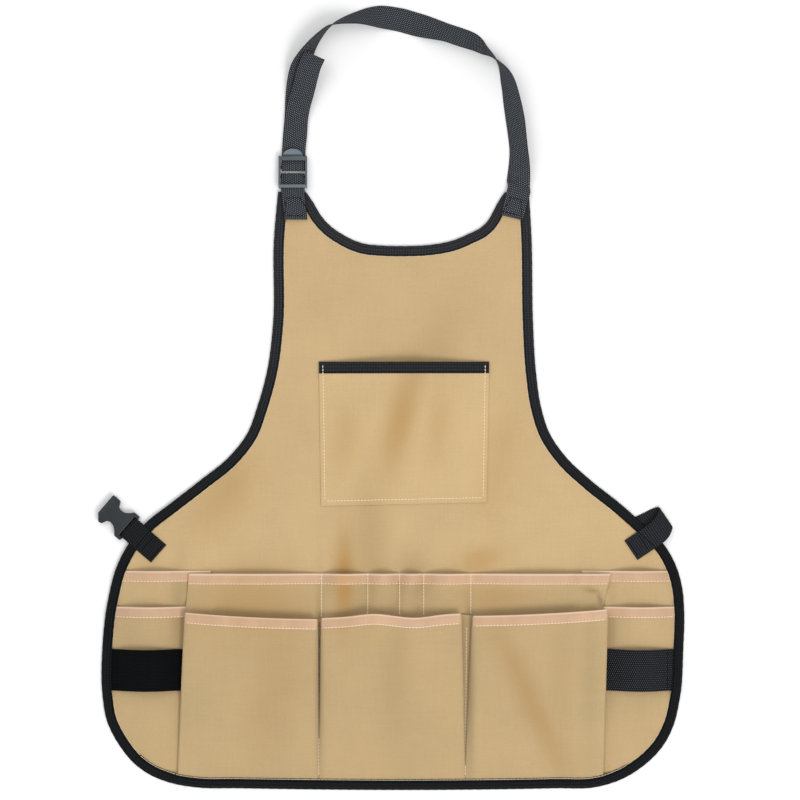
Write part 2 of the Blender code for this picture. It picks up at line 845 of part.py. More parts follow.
def miter_offsets(section):
    """For each point of an (x, z) section, the offset that keeps a unit wall on its left."""
    offsets = []
    for i in range(len(section)):
        normals = []
        for a, b in ((i - 1, i), (i, i + 1)):
            if a >= 0 and b < len(section):
                run = (section[b] - section[a]).normalized()
                normals.append(Vector((-run.y, run.x)))
        middle = sum(normals, Vector((0.0, 0.0))).normalized()
        offsets.append(middle / max(middle.dot(normals[0]), 0.5))
    return offsets


def mouth_height(pocket, share):
    """How far the mouth lies above the row's mouth line, along a pocket from 0 to 1."""
    if pocket is None:
        return 0.0
    left, middle, right = pocket[4:]
    bend = left * (1 - share) * (1 - 2 * share) + right * share * (2 * share - 1)
    return TAPE_WIDTH * (bend + 4 * middle * share * (1 - share))


def build_lower_row(canvas, satin):
    """One cloth for three pockets: its fronts stand off the apron on pleated sides, and are
    sewn flat at the hem."""
    layer = CLOTH + GAP
    mouth_y = HEM_Y + LOWER_ROW_MOUTH
    front_sewn, pleat_sewn = BINDING_WIDTH * 0.5, BINDING_WIDTH + PLEAT_SEWN_ABOVE
    front_columns = (0.0, 0.03, 0.10, 0.22, 0.36, 0.50, 0.64, 0.78, 0.90, 0.97, 1.0)
    tape_share = TAPE_WIDTH / LOWER_ROW_MOUTH
    shares = [0.0, tape_share, 1.6 * tape_share]
    shares += [lerp(shares[-1], 1.0, k / 5) for k in range(1, 6)]

    def edge_x(pocket, side, v):
        share = lerp(pocket[side], pocket[side + 2], v)
        return row_left() + LOWER_ROW_WIDTH * share

    def spot(x, v, above, sewn, z=0.0):
        return Vector((x, lerp(mouth_y + above, hem_edge_y(x) + sewn, v), z))

    def stand(v):
        down = below_tape(v, tape_share)
        return lerp(LOWER_ROW_STAND, 2 * layer, (down + ease(down)) / 2)

    def pleat(v):
        return math.sqrt(PLEAT_DEPTH**2 - (stand(v) - 2 * layer) ** 2)

    # The strips lie on the apron at the row's ends and between its pockets.
    strips = []
    for k in range(len(LOWER_POCKETS) + 1):
        before = LOWER_POCKETS[k - 1] if k > 0 else None
        after = LOWER_POCKETS[k] if k < len(LOWER_POCKETS) else None
        rows, ups = [], (mouth_height(before, 1.0), mouth_height(after, 0.0))
        for v in shares:
            if before:
                low_x = edge_x(before, 1, v) - pleat(v)
            else:
                low_x = edge_x(after, 0, v) + STRIP_UNDERLAP
            if after:
                high_x = edge_x(after, 0, v) + pleat(v)
            else:
                high_x = edge_x(before, 1, v) - STRIP_UNDERLAP
            rows.append(
                [
                    spot(low_x, v, ups[0] if before else ups[1], pleat_sewn),
                    spot(high_x, v, ups[1] if after else ups[0], pleat_sewn),
                ]
            )
        settled(rows)
        straighten_mouth(rows, 0.0)
        strips.append([(a.x, b.x, max(a.z, b.z) + CLOTH / 2) for a, b in rows])

    fronts = []
    for k, pocket in enumerate(LOWER_POCKETS):
        rows = []
        for j, v in enumerate(shares):
            row = []
            for u in front_columns:
                x = lerp(edge_x(pocket, 0, v), edge_x(pocket, 1, v), u)
                base = lerp(strips[k][j][2], strips[k + 1][j][2], u) - CLOTH / 2
                puff = LOWER_ROW_PUFF * (1.0 - below_tape(v, tape_share))
                z = base + stand(v) + puff * bulge(u) ** 0.5
                row.append(spot(x, v, mouth_height(pocket, u), front_sewn, z))
            rows.append(row)
        settled(rows)
        straighten_mouth(rows, 0.0)
        fronts.append(rows)

    low, high = [], []
    for j, v in enumerate(shares):
        section, ys = [], []

        def add(x, z, above):
            section.append(Vector((x, z)))
            ys.append(spot(x, v, above, pleat_sewn).y)

        for k, pocket in enumerate(LOWER_POCKETS):
            up_left, up_right = mouth_height(pocket, 0.0), mouth_height(pocket, 1.0)
            first, last, base = strips[k][j]
            front = fronts[k][j]
            if k == 0:
                add(first, base, up_left)
            add(last, base, up_left)
            add(last, base + layer, up_left)
            add(front[0].x, front[0].z + CLOTH / 2 - layer, up_left)
            for point in front:
                section.append(Vector((point.x, point.z + CLOTH / 2)))
                ys.append(point.y)
            first, last, base = strips[k + 1][j]
            add(front[-1].x, front[-1].z + CLOTH / 2 - layer, up_right)
            add(first, base + layer, up_right)
            add(first, base, up_right)
        add(last, base, up_right)
        offsets = miter_offsets(section)
        for rows, side in ((low, -CLOTH / 2), (high, CLOTH / 2)):
            moved = [point + offset * side for point, offset in zip(section, offsets)]
            rows.append([Vector((p.x, y, p.y)) for p, y in zip(moved, ys)])
    finish("lower_pocket_row", sheet(low, high), canvas)
    spans = front_point_ranges(len(front_columns))
    for (start, stop), word in zip(spans, ("left", "middle", "right")):
        cloth_rows = [low[j][start + 1 : stop] for j in (0, 1)]
        mouth_tape(f"lower_row_tape_{word}", cloth_rows, satin)


def front_point_ranges(front_count):
    """First and last section point of each pocket's front in the lower row."""
    ranges = []
    before = 4
    for _ in LOWER_POCKETS:
        ranges.append((before, before + front_count - 1))
        before += front_count + 3 + 3
    return ranges


def line_length(line):
    return sum((b - a).length for a, b in zip(line, line[1:]))


def stretch(line, first_share, last_share):
    """The part of a line between two shares of its length, with its inward normals."""
    total = line_length(line)
    start, stop = first_share * total, last_share * total
    normals = inward_normals(line)
    found, run = [], 0.0
    for i in range(len(line) - 1):
        span = (line[i + 1] - line[i]).length
        for mark in (start, stop):
            if run < mark < run + span:
                share = (mark - run) / span
                point = line[i].lerp(line[i + 1], share)
                found.append((mark, point, normals[i].lerp(normals[i + 1], share)))
        if start <= run <= stop:
            found.append((run, line[i], normals[i]))
        run += span
    if stop >= total - 1e-9:
        found.append((total, line[-1], normals[-1]))
    found.sort(key=lambda item: item[0])
    return [(point, normal.normalized()) for _, point, normal in found]


RISE = Vector((0.0, 0.0, TAPE_WALL))


def binding(name, line, first_share, last_share, edging):
    """The binding folded over the body panel's edge along one stretch of it."""
    shift = GAP / 2 / line_length(line)
    start = first_share + shift if first_share > 0 else 0.0
    stop = last_share - shift if last_share < 1 else 1.0
    stations = stretch(line, start, stop)

    def at(station, u, above=0.0):
        spot = station[0] + station[1] * u
        return Vector((spot.x, spot.y, edge_lift(spot.x, spot.y) + above))

    bare = PANEL_FLOOR + CLOTH + GAP
    across = (0.0, BINDING_WIDTH / 2, BINDING_WIDTH)
    tops = settled([[at(station, u, bare) for station in stations] for u in across])
    rings = []
    for station, outer, middle, inner in zip(stations, *tops):
        over_panel = outer.lerp(middle, 2 * TAPE_WALL / BINDING_WIDTH)
        rings.append(
            [
                at(station, BINDING_WIDTH),
                at(station, 0.0),
                outer + RISE,
                middle + RISE,
                inner + RISE,
                inner,
                middle,
                over_panel,
                at(station, TAPE_WALL, TAPE_WALL),
                at(station, BINDING_WIDTH, TAPE_WALL),
            ]
        )
    return finish(name, sweep(rings), edging)


def build_bindings(edging):
    first, second = BINDING_JOINS
    binding("left_side_binding", SKIRT_LINE, 0.0, first, edging)
    binding("hem_binding", SKIRT_LINE, first, second, edging)
    binding("right_side_binding", SKIRT_LINE, second, 1.0, edging)
    binding("neck_binding", NECK_LINE, 0.0, 1.0, edging)


def ribbon(stations, width, thickness):
    """Flat webbing through (middle point, direction across) stations. Its two faces are
    split along the same diagonals, so that a twist doesn't make them cross."""
    rings = []
    for i, (centre, across) in enumerate(stations):
        before = stations[max(i - 1, 0)][0]
        after = stations[min(i + 1, len(stations) - 1)][0]
        up = (after - before).cross(across).normalized()
        rings.append(
            [
                centre + across * (aside * width / 2) + up * (above * thickness / 2)
                for aside, above in ((-1, -1), (1, -1), (1, 1), (-1, 1))
            ]
        )
    bm = bmesh.new()
    rows = [[bm.verts.new(point) for point in ring] for ring in rings]
    bm.faces.new(rows[0])
    bm.faces.new(reversed(rows[-1]))
    for near, far in zip(rows, rows[1:]):
        for k in range(4):
            beside = (k + 1) % 4
            if k < 2:
                bm.faces.new((near[k], far[beside], near[beside]))
                bm.faces.new((near[k], far[k], far[beside]))
            else:
                bm.faces.new((near[k], far[k], near[beside]))
                bm.faces.new((near[beside], far[k], far[beside]))
    bmesh.ops.recalc_face_normals(bm, faces=bm.faces[:])
    return bm


def strap_point(across, up):
    left = share_points(((-0.3419, 1.0),))[0].x
    return Vector((left + across * STRAP_SPAN, SHOULDER_Y + up * STRAP_RISE, 0.0))


def rolled_across(along, roll):
    """The direction across a strap that leans on its inner edge by the roll."""
    flat = Vector((along.y, -along.x, 0.0)).normalized()
    angle = math.radians(roll)
    return flat * math.cos(angle) - Vector((0.0, 0.0, math.sin(angle)))


def strap_stations(table, rest):
    """Stations of a strap along its route; rest(point, across) gives the middle's height."""
    points = [strap_point(across, up) for across, up, _ in table]
    stations = []
    for i, point in enumerate(points):
        along = points[min(i + 1, len(points) - 1)] - points[max(i - 1, 0)]
        across = rolled_across(along, table[i][2])
        stations.append((point + Vector((0.0, 0.0, rest(point, across))), across))
    return stations


def rest_on_floor(point, across):
    flat = math.hypot(across.x, across.y)
    return abs(across.z) * STRAP_WIDTH / 2 + flat * WEBBING / 2


def half_turn(centre, outwards, radius, across, steps=6):
    """Stations round a bar, from above it to below it, on its side that faces outwards."""
    stations = []
    for k in range(steps + 1):
        angle = math.pi / 2 - math.pi * k / steps
        around = outwards * math.cos(angle) + Vector((0.0, 0.0, math.sin(angle)))
        stations.append((centre + around * radius, across))
    return stations


# Heights of the ladder-lock buckle's bars, and of the tab's webbing on the shoulder.
BAR_BOTTOM = WEBBING + 0.0004
BAR_MIDDLE = BAR_BOTTOM + LADDER_BAR / 2
WRAP_RADIUS = LADDER_BAR / 2 + GAP + WEBBING / 2
COVER_BOTTOM = BAR_MIDDLE + WRAP_RADIUS + WEBBING / 2 + GAP
TAB_LOWER = PANEL_FLOOR + CLOTH + GAP + TAPE_WALL + GAP + WEBBING / 2
TAB_UPPER = TAB_LOWER + WEBBING + GAP
BOTTOM_RAIL = TAB_UPPER + WEBBING / 2 + GAP


def ladder_y(share):
    """A height along the ladder-lock buckle, from its bottom rail at 0 to its top at 1."""
    return SHOULDER_Y + LADDER_ABOVE_SHOULDER + share * LADDER_LENGTH


STRAP_BAR_Y = ladder_y(0.665)
LOOP_BAR_Y = ladder_y(0.37)


def build_neck_strap(webbing):
    """From its free tail down through the buckle, round its bar, up and over to the
    wearer's left shoulder, where it is sewn on."""
    load = strap_stations(STRAP_ROUTE, rest_on_floor)
    last = load[-1][0]
    over = []
    for down in (STRAP_FLAT, STRAP_SEWN * 0.36, STRAP_SEWN * 0.97):
        y = SHOULDER_Y - down
        level = max(
            PILE.top(last.x - STRAP_LEAN * down + side * STRAP_WIDTH / 2, y, 0.002, 0.005)
            for side in (-1, -0.5, 0, 0.5, 1)
        )
        over.append(level)
    level = max(over) + GAP + WEBBING / 2
    flat_across = Vector((-1.0, STRAP_LEAN, 0.0)).normalized()
    climb = lerp(load[-1][0].z, level, 0.8)
    load.append((Vector((last.x, SHOULDER_Y + STRAP_CLIMB, climb)), flat_across))
    for down in (STRAP_FLAT, STRAP_SEWN * 0.43, STRAP_SEWN):
        load.append((Vector((last.x - STRAP_LEAN * down, SHOULDER_Y - down, level)), flat_across))

    beneath = ribbon(load, STRAP_WIDTH, WEBBING)
    lying = Pile()
    lying.add(beneath)
    beneath.free()

    def rest_on_strap(point, across):
        height = 0.0
        for share in (-1.0, -0.75, -0.5, -0.25, 0.0, 0.25, 0.5, 0.75, 1.0):
            spot = point + across * (share * STRAP_WIDTH / 2)
            needed = lying.top(spot.x, spot.y, 0.0015, 0.0015) + TAIL_CLEARANCE
            height = max(height, needed - spot.z)
        return height + WEBBING / 2

    tail = [(centre, -lean) for centre, lean in strap_stations(TAIL_ROUTE, rest_on_strap)]
    across = Vector((1.0, 0.0, 0.0))
    x = load[0][0].x
    tail.append((Vector((x, ladder_y(0.93), tail[-1][0].z)), across))
    climb = lerp(tail[-1][0].z, BAR_MIDDLE + WRAP_RADIUS, 0.6)
    tail.append((Vector((x, ladder_y(0.80), climb)), across))
    bar = Vector((x, STRAP_BAR_Y - LADDER_BAR_HALF, BAR_MIDDLE))
    top = Vector((x, STRAP_BAR_Y + STRAP_BAR_FRONT * 0.8, BAR_MIDDLE + WRAP_RADIUS))
    turn = half_turn(bar, Vector((0.0, -1.0, 0.0)), WRAP_RADIUS, across)
    stations = tail + [(top, across)] + turn + load
    return finish("neck_strap", ribbon(stations, STRAP_WIDTH, WEBBING), webbing)


def build_shoulder_tab(webbing):
    """The webbing sewn to the wearer's right shoulder in two layers, with its fold round the
    buckle's loop bar."""
    across = Vector((1.0, 0.0, 0.0))
    top_x = strap_point(0.0, 0.0).x - LADDER_ASIDE
    end_x = top_x + SHOULDER_TAB_DRIFT
    length = SHOULDER_TAB_LENGTH
    bar = Vector((top_x, LOOP_BAR_Y + LOOP_BAR_FRONT, BAR_MIDDLE))
    turn = half_turn(bar, Vector((0.0, 1.0, 0.0)), WRAP_RADIUS, across)

    def at(down, z):
        x = lerp(top_x, end_x, max(down, 0.0) / length)
        return (Vector((x, SHOULDER_Y - down, z)), across)

    front = [at(length, TAB_UPPER), at(SHOULDER_TAB_SEWN, TAB_UPPER)]
    front.append(at(-SHOULDER_TAB_FRONT_RISE, TAB_UPPER))
    back = [at(SHOULDER_Y - LOOP_BAR_Y + LADDER_BAR_HALF * 2, BAR_MIDDLE - WRAP_RADIUS)]
    back.append(at(-SHOULDER_TAB_BACK_RISE, TAB_LOWER))
    back += [at(SHOULDER_TAB_SEWN, TAB_LOWER), at(length * 0.9, TAB_LOWER)]
    return finish(
        "shoulder_tab", ribbon(front + turn + back, STRAP_WIDTH, WEBBING), webbing
    )


def box_mesh(low, high):
    bm = bmesh.new()
    bmesh.ops.create_cube(bm, size=1.0)
    size = Vector(high) - Vector(low)
    bmesh.ops.scale(bm, vec=size, verts=bm.verts[:])
    bmesh.ops.translate(bm, vec=(Vector(low) + Vector(high)) / 2, verts=bm.verts[:])
    return bm


def helper(name, bm):
    """A shape that a Boolean joins or cuts, kept out of the finished part."""
    mesh = bpy.data.meshes.new(name)
    bm.normal_update()
    bmesh.ops.recalc_face_normals(bm, faces=bm.faces[:])
    bm.to_mesh(mesh)
    bm.free()
    made = bpy.data.objects.new(name, mesh)
    bpy.context.scene.collection.objects.link(made)
    made.hide_render = True
    made.display_type = "WIRE"
    return made


def join_or_cut(target, other, operation):
    modifier = target.modifiers.new(other.name, "BOOLEAN")
    modifier.operation = operation
    modifier.solver = "EXACT"
    modifier.object = other


RAIL_PROUD = 0.0001


def side_rail(low_x, high_x):
    """One side of the ladder-lock buckle, higher at its bottom rail than at its cover."""
    high_z = COVER_BOTTOM + LADDER_BAR + RAIL_PROUD
    rail = box_mesh((low_x, ladder_y(0.0), BAR_BOTTOM), (high_x, ladder_y(1.0), high_z))
    bmesh.ops.bisect_plane(
        rail,
        geom=rail.verts[:] + rail.edges[:] + rail.faces[:],
        plane_co=(0.0, ladder_y(0.14), 0.0),
        plane_no=(0.0, 1.0, 0.0),
    )
    for vert in rail.verts:
        if vert.co.z > BAR_MIDDLE + LADDER_BAR and vert.co.y < ladder_y(0.2):
            vert.co.z = BOTTOM_RAIL + LADDER_BAR + RAIL_PROUD
    return rail


def build_ladder_lock(plastic):
    """Two rails with four bars: a cover bar with the thumb tab, the bar that the strap
    folds round, the bar that the shoulder tab folds round, and the bottom rail."""
    x = strap_point(0.0, 0.0).x - LADDER_ASIDE
    half = LADDER_WIDTH / 2
    inner = half - LADDER_RAIL
    frame = finish(
        "ladder_lock_buckle", side_rail(x - half, x - inner), plastic, on_pile=False
    )
    join_or_cut(frame, helper("rail_shape", side_rail(x + inner, x + half)), "UNION")
    reach = half - LADDER_RAIL / 2
    bars = (
        ("cover_bar_shape", ladder_y(0.86), ladder_y(0.985), COVER_BOTTOM),
        (
            "strap_bar_shape",
            STRAP_BAR_Y - LADDER_BAR_HALF,
            STRAP_BAR_Y + STRAP_BAR_FRONT,
            BAR_BOTTOM,
        ),
        (
            "loop_bar_shape",
            LOOP_BAR_Y - LADDER_BAR_HALF,
            LOOP_BAR_Y + LOOP_BAR_FRONT,
            BAR_BOTTOM,
        ),
        ("bottom_rail_shape", ladder_y(0.015), ladder_y(0.12), BOTTOM_RAIL),
    )
    for name, low_y, high_y, low_z in bars:
        low = (x - reach, low_y, low_z + RAIL_PROUD)
        high = (x + reach, high_y, low_z + LADDER_BAR)
        join_or_cut(frame, helper(name, box_mesh(low, high)), "UNION")
    tab = bmesh.new()
    bmesh.ops.create_circle(tab, cap_ends=True, segments=24, radius=THUMB_TAB_WIDTH / 2)
    stretch_y = THUMB_TAB_REACH / (THUMB_TAB_WIDTH / 2)
    bmesh.ops.scale(tab, vec=(1.0, stretch_y, 1.0), verts=tab.verts[:])
    grown = bmesh.ops.extrude_face_region(tab, geom=tab.faces[:])["geom"]
    lifted = [item for item in grown if isinstance(item, bmesh.types.BMVert)]
    bmesh.ops.translate(tab, vec=(0.0, 0.0, LADDER_BAR * 0.8), verts=lifted)
    bmesh.ops.bisect_plane(
        tab,
        geom=tab.verts[:] + tab.edges[:] + tab.faces[:],
        plane_co=(0.0, -0.001, 0.0),
        plane_no=(0.0, -1.0, 0.0),
        clear_outer=True,
    )
    bmesh.ops.holes_fill(tab, edges=tab.edges[:])
    bmesh.ops.translate(
        tab, vec=(x, ladder_y(0.975), COVER_BOTTOM + LADDER_BAR * 0.1), verts=tab.verts[:]
    )
    join_or_cut(frame, helper("thumb_tab_shape", tab), "UNION")
    return frame


def turned(angle):
    radians = math.radians(angle)
    return Vector((math.cos(radians), math.sin(radians), 0.0))


def webbing_level(start, along, across, distance):
    """The height of the middle of webbing that lies on the pile this far along."""
    tops = []
    for share in (-1.0, -0.5, 0.0, 0.5, 1.0):
        spot = Vector((start.x, start.y, 0.0)) + along * distance
        spot += across * (share * STRAP_WIDTH / 2)
        tops.append(PILE.top(spot.x, spot.y, 0.003, 0.003))
    return max(tops) + GAP + WEBBING / 2


def build_waist_tab(webbing, plastic):
    """Webbing that runs over the apron's edge, round the bar of the side-release buckle and
    back under the edge, and the buckle's socket half."""
    along = turned(WAIST_TAB_TURN)
    across = turned(WAIST_TAB_TURN - 90.0)
    start = Vector((WAIST_TAB_START.x, WAIST_TAB_START.y, 0.0))
    middle_z = WAIST_BUCKLE_HEIGHT / 2
    radius = BUCKLE_BAR / 2 + GAP + WEBBING / 2
    bar = start + along * WAIST_TAB_LENGTH + Vector((0.0, 0.0, middle_z))
    bar_share = WAIST_TAB_LENGTH

    def at(distance, z):
        return (start + along * distance + Vector((0.0, 0.0, z)), across)

    lay = [0.0, 0.25, 0.5, 0.72]
    level = max(webbing_level(start, along, across, bar_share * share) for share in lay)
    inner_level = webbing_level(start, along, across, 0.0)
    front = [at(0.0, inner_level), at(bar_share * 0.25, lerp(inner_level, level, 0.7))]
    front += [at(bar_share * 0.5, level), at(bar_share * 0.78, level)]
    turn = half_turn(bar, along, radius, across)
    back = [
        at(bar_share * 0.84, lerp(middle_z - radius, WEBBING / 2, 0.8)),
        at(bar_share * 0.72, WEBBING / 2),
        at(bar_share * 0.30, WEBBING / 2),
    ]
    finish("waist_tab", ribbon(front + turn + back, STRAP_WIDTH, WEBBING), webbing)
    build_waist_buckle(bar, along, across, plastic)


def build_waist_buckle(bar, along, across, plastic):
    """The socket half: ears with a bar between them, a narrow waist that is open at both
    sides, and a wide head with the mouth for the missing plug half."""
    length, half = WAIST_BUCKLE_LENGTH, WAIST_BUCKLE_WIDTH / 2
    rear = BUCKLE_BAR / 2 + BUCKLE_REAR_WALL
    front_end = length - rear
    right = [(a * length - rear, w * half) for a, w in BUCKLE_SIDE]
    chamfer_along, chamfer_out, chamfer_front = BUCKLE_CORNER
    left = [(a * length - rear, -w * half) for a, w in BUCKLE_SIDE[:-2]]
    left.append((chamfer_along * length - rear, -chamfer_out * half))
    left.append((front_end, -chamfer_front * half))
    ear_in = STRAP_WIDTH / 2 + BUCKLE_EAR_ROOM
    body_rear = BUCKLE_EAR_SHARE * length
    notch = [(-rear, -ear_in), (body_rear - rear, -ear_in)]
    notch += [(body_rear - rear, ear_in), (-rear, ear_in)]
    outline = right + left[::-1] + notch
    frame = Matrix(
        (
            (along.x, across.x, 0.0, bar.x),
            (along.y, across.y, 0.0, bar.y),
            (0.0, 0.0, 1.0, 0.0),
            (0.0, 0.0, 0.0, 1.0),
        )
    )
    shell = bmesh.new()
    shell.faces.new([shell.verts.new((a, w, 0.0)) for a, w in outline])
    grown = bmesh.ops.extrude_face_region(shell, geom=shell.faces[:])["geom"]
    lifted = [item for item in grown if isinstance(item, bmesh.types.BMVert)]
    bmesh.ops.translate(shell, vec=(0.0, 0.0, WAIST_BUCKLE_HEIGHT), verts=lifted)
    rims = [e for e in shell.edges if abs(e.verts[0].co.z - e.verts[1].co.z) < 1e-6]
    bmesh.ops.bevel(
        shell,
        geom=rims,
        offset=BUCKLE_EDGE,
        segments=1,
        profile=0.5,
        affect="EDGES",
        material=-1,
    )
    shell.transform(frame)
    buckle = finish("waist_buckle", shell, plastic, on_pile=False)
    low_z = (WAIST_BUCKLE_HEIGHT - BUCKLE_MOUTH_HEIGHT) / 2
    mouth = box_mesh(
        (front_end - BUCKLE_MOUTH_DEPTH, -BUCKLE_MOUTH_WIDTH / 2, low_z),
        (front_end + BUCKLE_BAR, BUCKLE_MOUTH_WIDTH / 2, low_z + BUCKLE_MOUTH_HEIGHT),
    )
    mouth.transform(frame)
    join_or_cut(buckle, helper("mouth_cutter", mouth), "DIFFERENCE")
    rod = bmesh.new()
    bmesh.ops.create_cone(
        rod,
        cap_ends=True,
        segments=12,
        radius1=BUCKLE_BAR / 2,
        radius2=BUCKLE_BAR / 2,
        depth=2 * (ear_in + BUCKLE_EAR_ROOM),
        matrix=Matrix.Translation((0.0, 0.0, bar.z)) @ Matrix.Rotation(math.pi / 2, 4, "X"),
    )
    rod.transform(frame)
    join_or_cut(buckle, helper("bar_shape", rod), "UNION")


def build_waist_loop(webbing):
    """The open webbing loop at the other side, sewn on top and under the edge."""
    along = turned(WAIST_LOOP_TURN)
    aside = turned(WAIST_LOOP_TURN + 90.0)
    across = turned(WAIST_LOOP_TURN - 90.0)
    start = Vector((WAIST_LOOP_START.x, WAIST_LOOP_START.y, 0.0))

    def at(along_share, aside_share, z):
        spot = start + along * (along_share * WAIST_LOOP_LENGTH)
        spot += aside * (aside_share * STRAP_WIDTH)
        return (spot + Vector((0.0, 0.0, z)), across)

    inner_level = webbing_level(start, along, across, 0.0)
    level = max(
        webbing_level(start, along, across, WAIST_LOOP_LENGTH * share)
        for share in (0.25, 0.4, 0.5, 0.6)
    )
    stations = [at(0.0, 0.0, inner_level), at(0.22, 0.0, lerp(inner_level, level, 0.7))]
    stations += [at(0.40, 0.0, level), at(0.56, 0.0, lerp(level, WAIST_LOOP_RISE, 0.4))]
    low = WEBBING / 2
    for along_share, aside_share, height in WAIST_LOOP_ROUTE:
        stations.append(at(along_share, aside_share, lerp(low, WAIST_LOOP_RISE, height)))
    for along_share, aside_share in WAIST_LOOP_RETURN:
        stations.append(at(along_share, aside_share, low))
    finish("waist_loop", ribbon(stations, STRAP_WIDTH, WEBBING), webbing)


def main():
    clear_scene()
    canvas = material("khaki_canvas", KHAKI, 0.85)
    satin = material("tan_satin_tape", TAPE_TAN, 0.55)
    edging = material("black_binding", BLACK_CLOTH, 0.8)
    webbing = material("black_webbing", BLACK_WEBBING, 0.8)
    plastic = material("black_moulded_plastic", BLACK_PLASTIC, 0.45)
    build_body_panel(canvas)
    build_side_pockets(canvas, satin)
    build_upper_row(canvas, satin)
    build_tool_loops(webbing)
    build_lower_row(canvas, satin)
    build_chest_pocket(canvas, edging)
    build_bindings(edging)
    build_neck_strap(webbing)
    build_shoulder_tab(webbing)
    build_ladder_lock(plastic)
    build_waist_tab(webbing, plastic)
    build_waist_loop(webbing)


main()
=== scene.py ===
"""The looks of a gardening apron that lies flat, built around its solids.

Metres, +X to the wearer's left as seen from above, +Y towards the neck, +Z up.
Every piece is laid on the pieces below it, so each cloth, tape and webbing follows
what it covers. Tables give places and sizes as shares of the apron's named sizes.
"""

import functools
import math

import bmesh
import bpy
import numpy as np
from mathutils import Matrix, Vector, noise
from mathutils.bvhtree import BVHTree


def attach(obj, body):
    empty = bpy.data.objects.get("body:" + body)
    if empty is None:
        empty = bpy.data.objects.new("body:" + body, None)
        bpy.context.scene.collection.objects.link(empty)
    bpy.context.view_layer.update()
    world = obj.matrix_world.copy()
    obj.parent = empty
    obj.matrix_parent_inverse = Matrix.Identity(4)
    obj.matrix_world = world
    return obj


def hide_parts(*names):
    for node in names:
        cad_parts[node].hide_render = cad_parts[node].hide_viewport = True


bl_info = {
    "name": "Gardening Apron",
    "version": (1, 0, 0),
    "blender": (4, 5, 0),
    "location": "3D View > Sidebar > Apron",
    "description": "Dresses a gardening apron's solids in canvas, tape, webbing and buckles",
    "category": "Object",
}

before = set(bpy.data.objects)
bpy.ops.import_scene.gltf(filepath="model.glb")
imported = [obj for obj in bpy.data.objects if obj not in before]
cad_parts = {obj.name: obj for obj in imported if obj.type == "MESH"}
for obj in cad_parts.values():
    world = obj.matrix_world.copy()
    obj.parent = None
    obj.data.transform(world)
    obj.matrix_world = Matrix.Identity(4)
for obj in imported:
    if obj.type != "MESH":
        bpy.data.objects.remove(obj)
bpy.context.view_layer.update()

# Sizes of the apron
BODY_LENGTH = 0.638
SKIRT_WIDTH = 0.623
STRAP_RISE = 0.199
BUCKLE_PROUD = 0.0043
BINDING_WIDTH = 0.011
HEM_BINDING_EXTRA = 0.0012
BINDING_PUCKER = 0.0001
TAPE_WIDTH = 0.0108
TAPE_SEAM_UP = 0.0011
CHEST_BINDING_WIDTH = 0.0113
STRAP_WIDTH = 0.025

# Where the origin lies in the apron
SKIRT_X = BUCKLE_PROUD / 2
HEM_Y = -(BODY_LENGTH + STRAP_RISE) / 2
SHOULDER_Y = HEM_Y + BODY_LENGTH

# The solids' gap and walls, which the pieces here keep to
PANEL_FLOOR = 0.0013
SOLID_GAP = 0.0003
SOLID_CLOTH = 0.001
SOLID_WEBBING = 0.0013

# Chest pocket
CHEST_POCKET_WIDTH = 0.182
CHEST_POCKET_HEIGHT = 0.151
CHEST_POCKET_MOUTH = 0.455
CHEST_POCKET_ASIDE = 0.0118
CHEST_POCKET_PUFF = 0.0095
CHEST_POCKET_TAPER = 0.028
CHEST_POCKET_SKEW = 0.004

# Upper pocket row, sewn into six compartments
UPPER_ROW_WIDTH = 0.4494
UPPER_ROW_DEPTH = 0.078
UPPER_ROW_MOUTH = 0.229
UPPER_ROW_ASIDE = 0.007
UPPER_ROW_PUFF = 0.0078
UPPER_ROW_NARROWING = 0.011
UPPER_ROW_NARROW_DEPTH = 0.036
UPPER_ROW_SEAMS = (0.0, 0.3143, 0.4245, 0.5002, 0.5574, 0.6693, 1.0)

# Lower pocket row, one pleated cloth with three pockets
LOWER_ROW_WIDTH = 0.4482
LOWER_ROW_MOUTH = 0.185
LOWER_ROW_ASIDE = 0.0035
LOWER_ROW_STAND = 0.0085
LOWER_ROW_PUFF = 0.0052
PLEAT_DEPTH = 0.0115
PLEAT_END = 0.003
PLEAT_SEWN = BINDING_WIDTH + 0.0025
FRONT_SEWN = BINDING_WIDTH * 0.5

# Side pockets
BACK_SIDE_MOUTH = 0.2319
FRONT_SIDE_MOUTH = 0.1937
BACK_SIDE_DEPTH = 0.160
SIDE_POCKET_PUFF = 0.0068
SIDE_POCKET_UNDERLAP = 0.026

# Tool loops and shoulder tab
TOOL_LOOP_WIDTH = 0.0444
TOOL_LOOP_HEIGHT = 0.1273
TOOL_LOOP_PUFF = 0.0068
TOOL_LOOP_UNDERLAP = 0.0075
SHOULDER_TAB_LENGTH = 0.030

# Waist tab, waist loop and the bar of the waist buckle
WAIST_TAB_LENGTH = 0.0417
WAIST_TAB_TURN = 139.0
WAIST_LOOP_LENGTH = 0.0505
WAIST_LOOP_TURN = 34.0
WAIST_LOOP_RISE = 0.0088
WAIST_BUCKLE_HEIGHT = 0.0084
BUCKLE_BAR = 0.0024

# Ladder-lock buckle
LADDER_LENGTH = 0.0345
LADDER_BAR = 0.0018
LADDER_UP = 0.0035
LADDER_LIFT = 0.0004
BUCKLE_ROUNDING = 0.00045

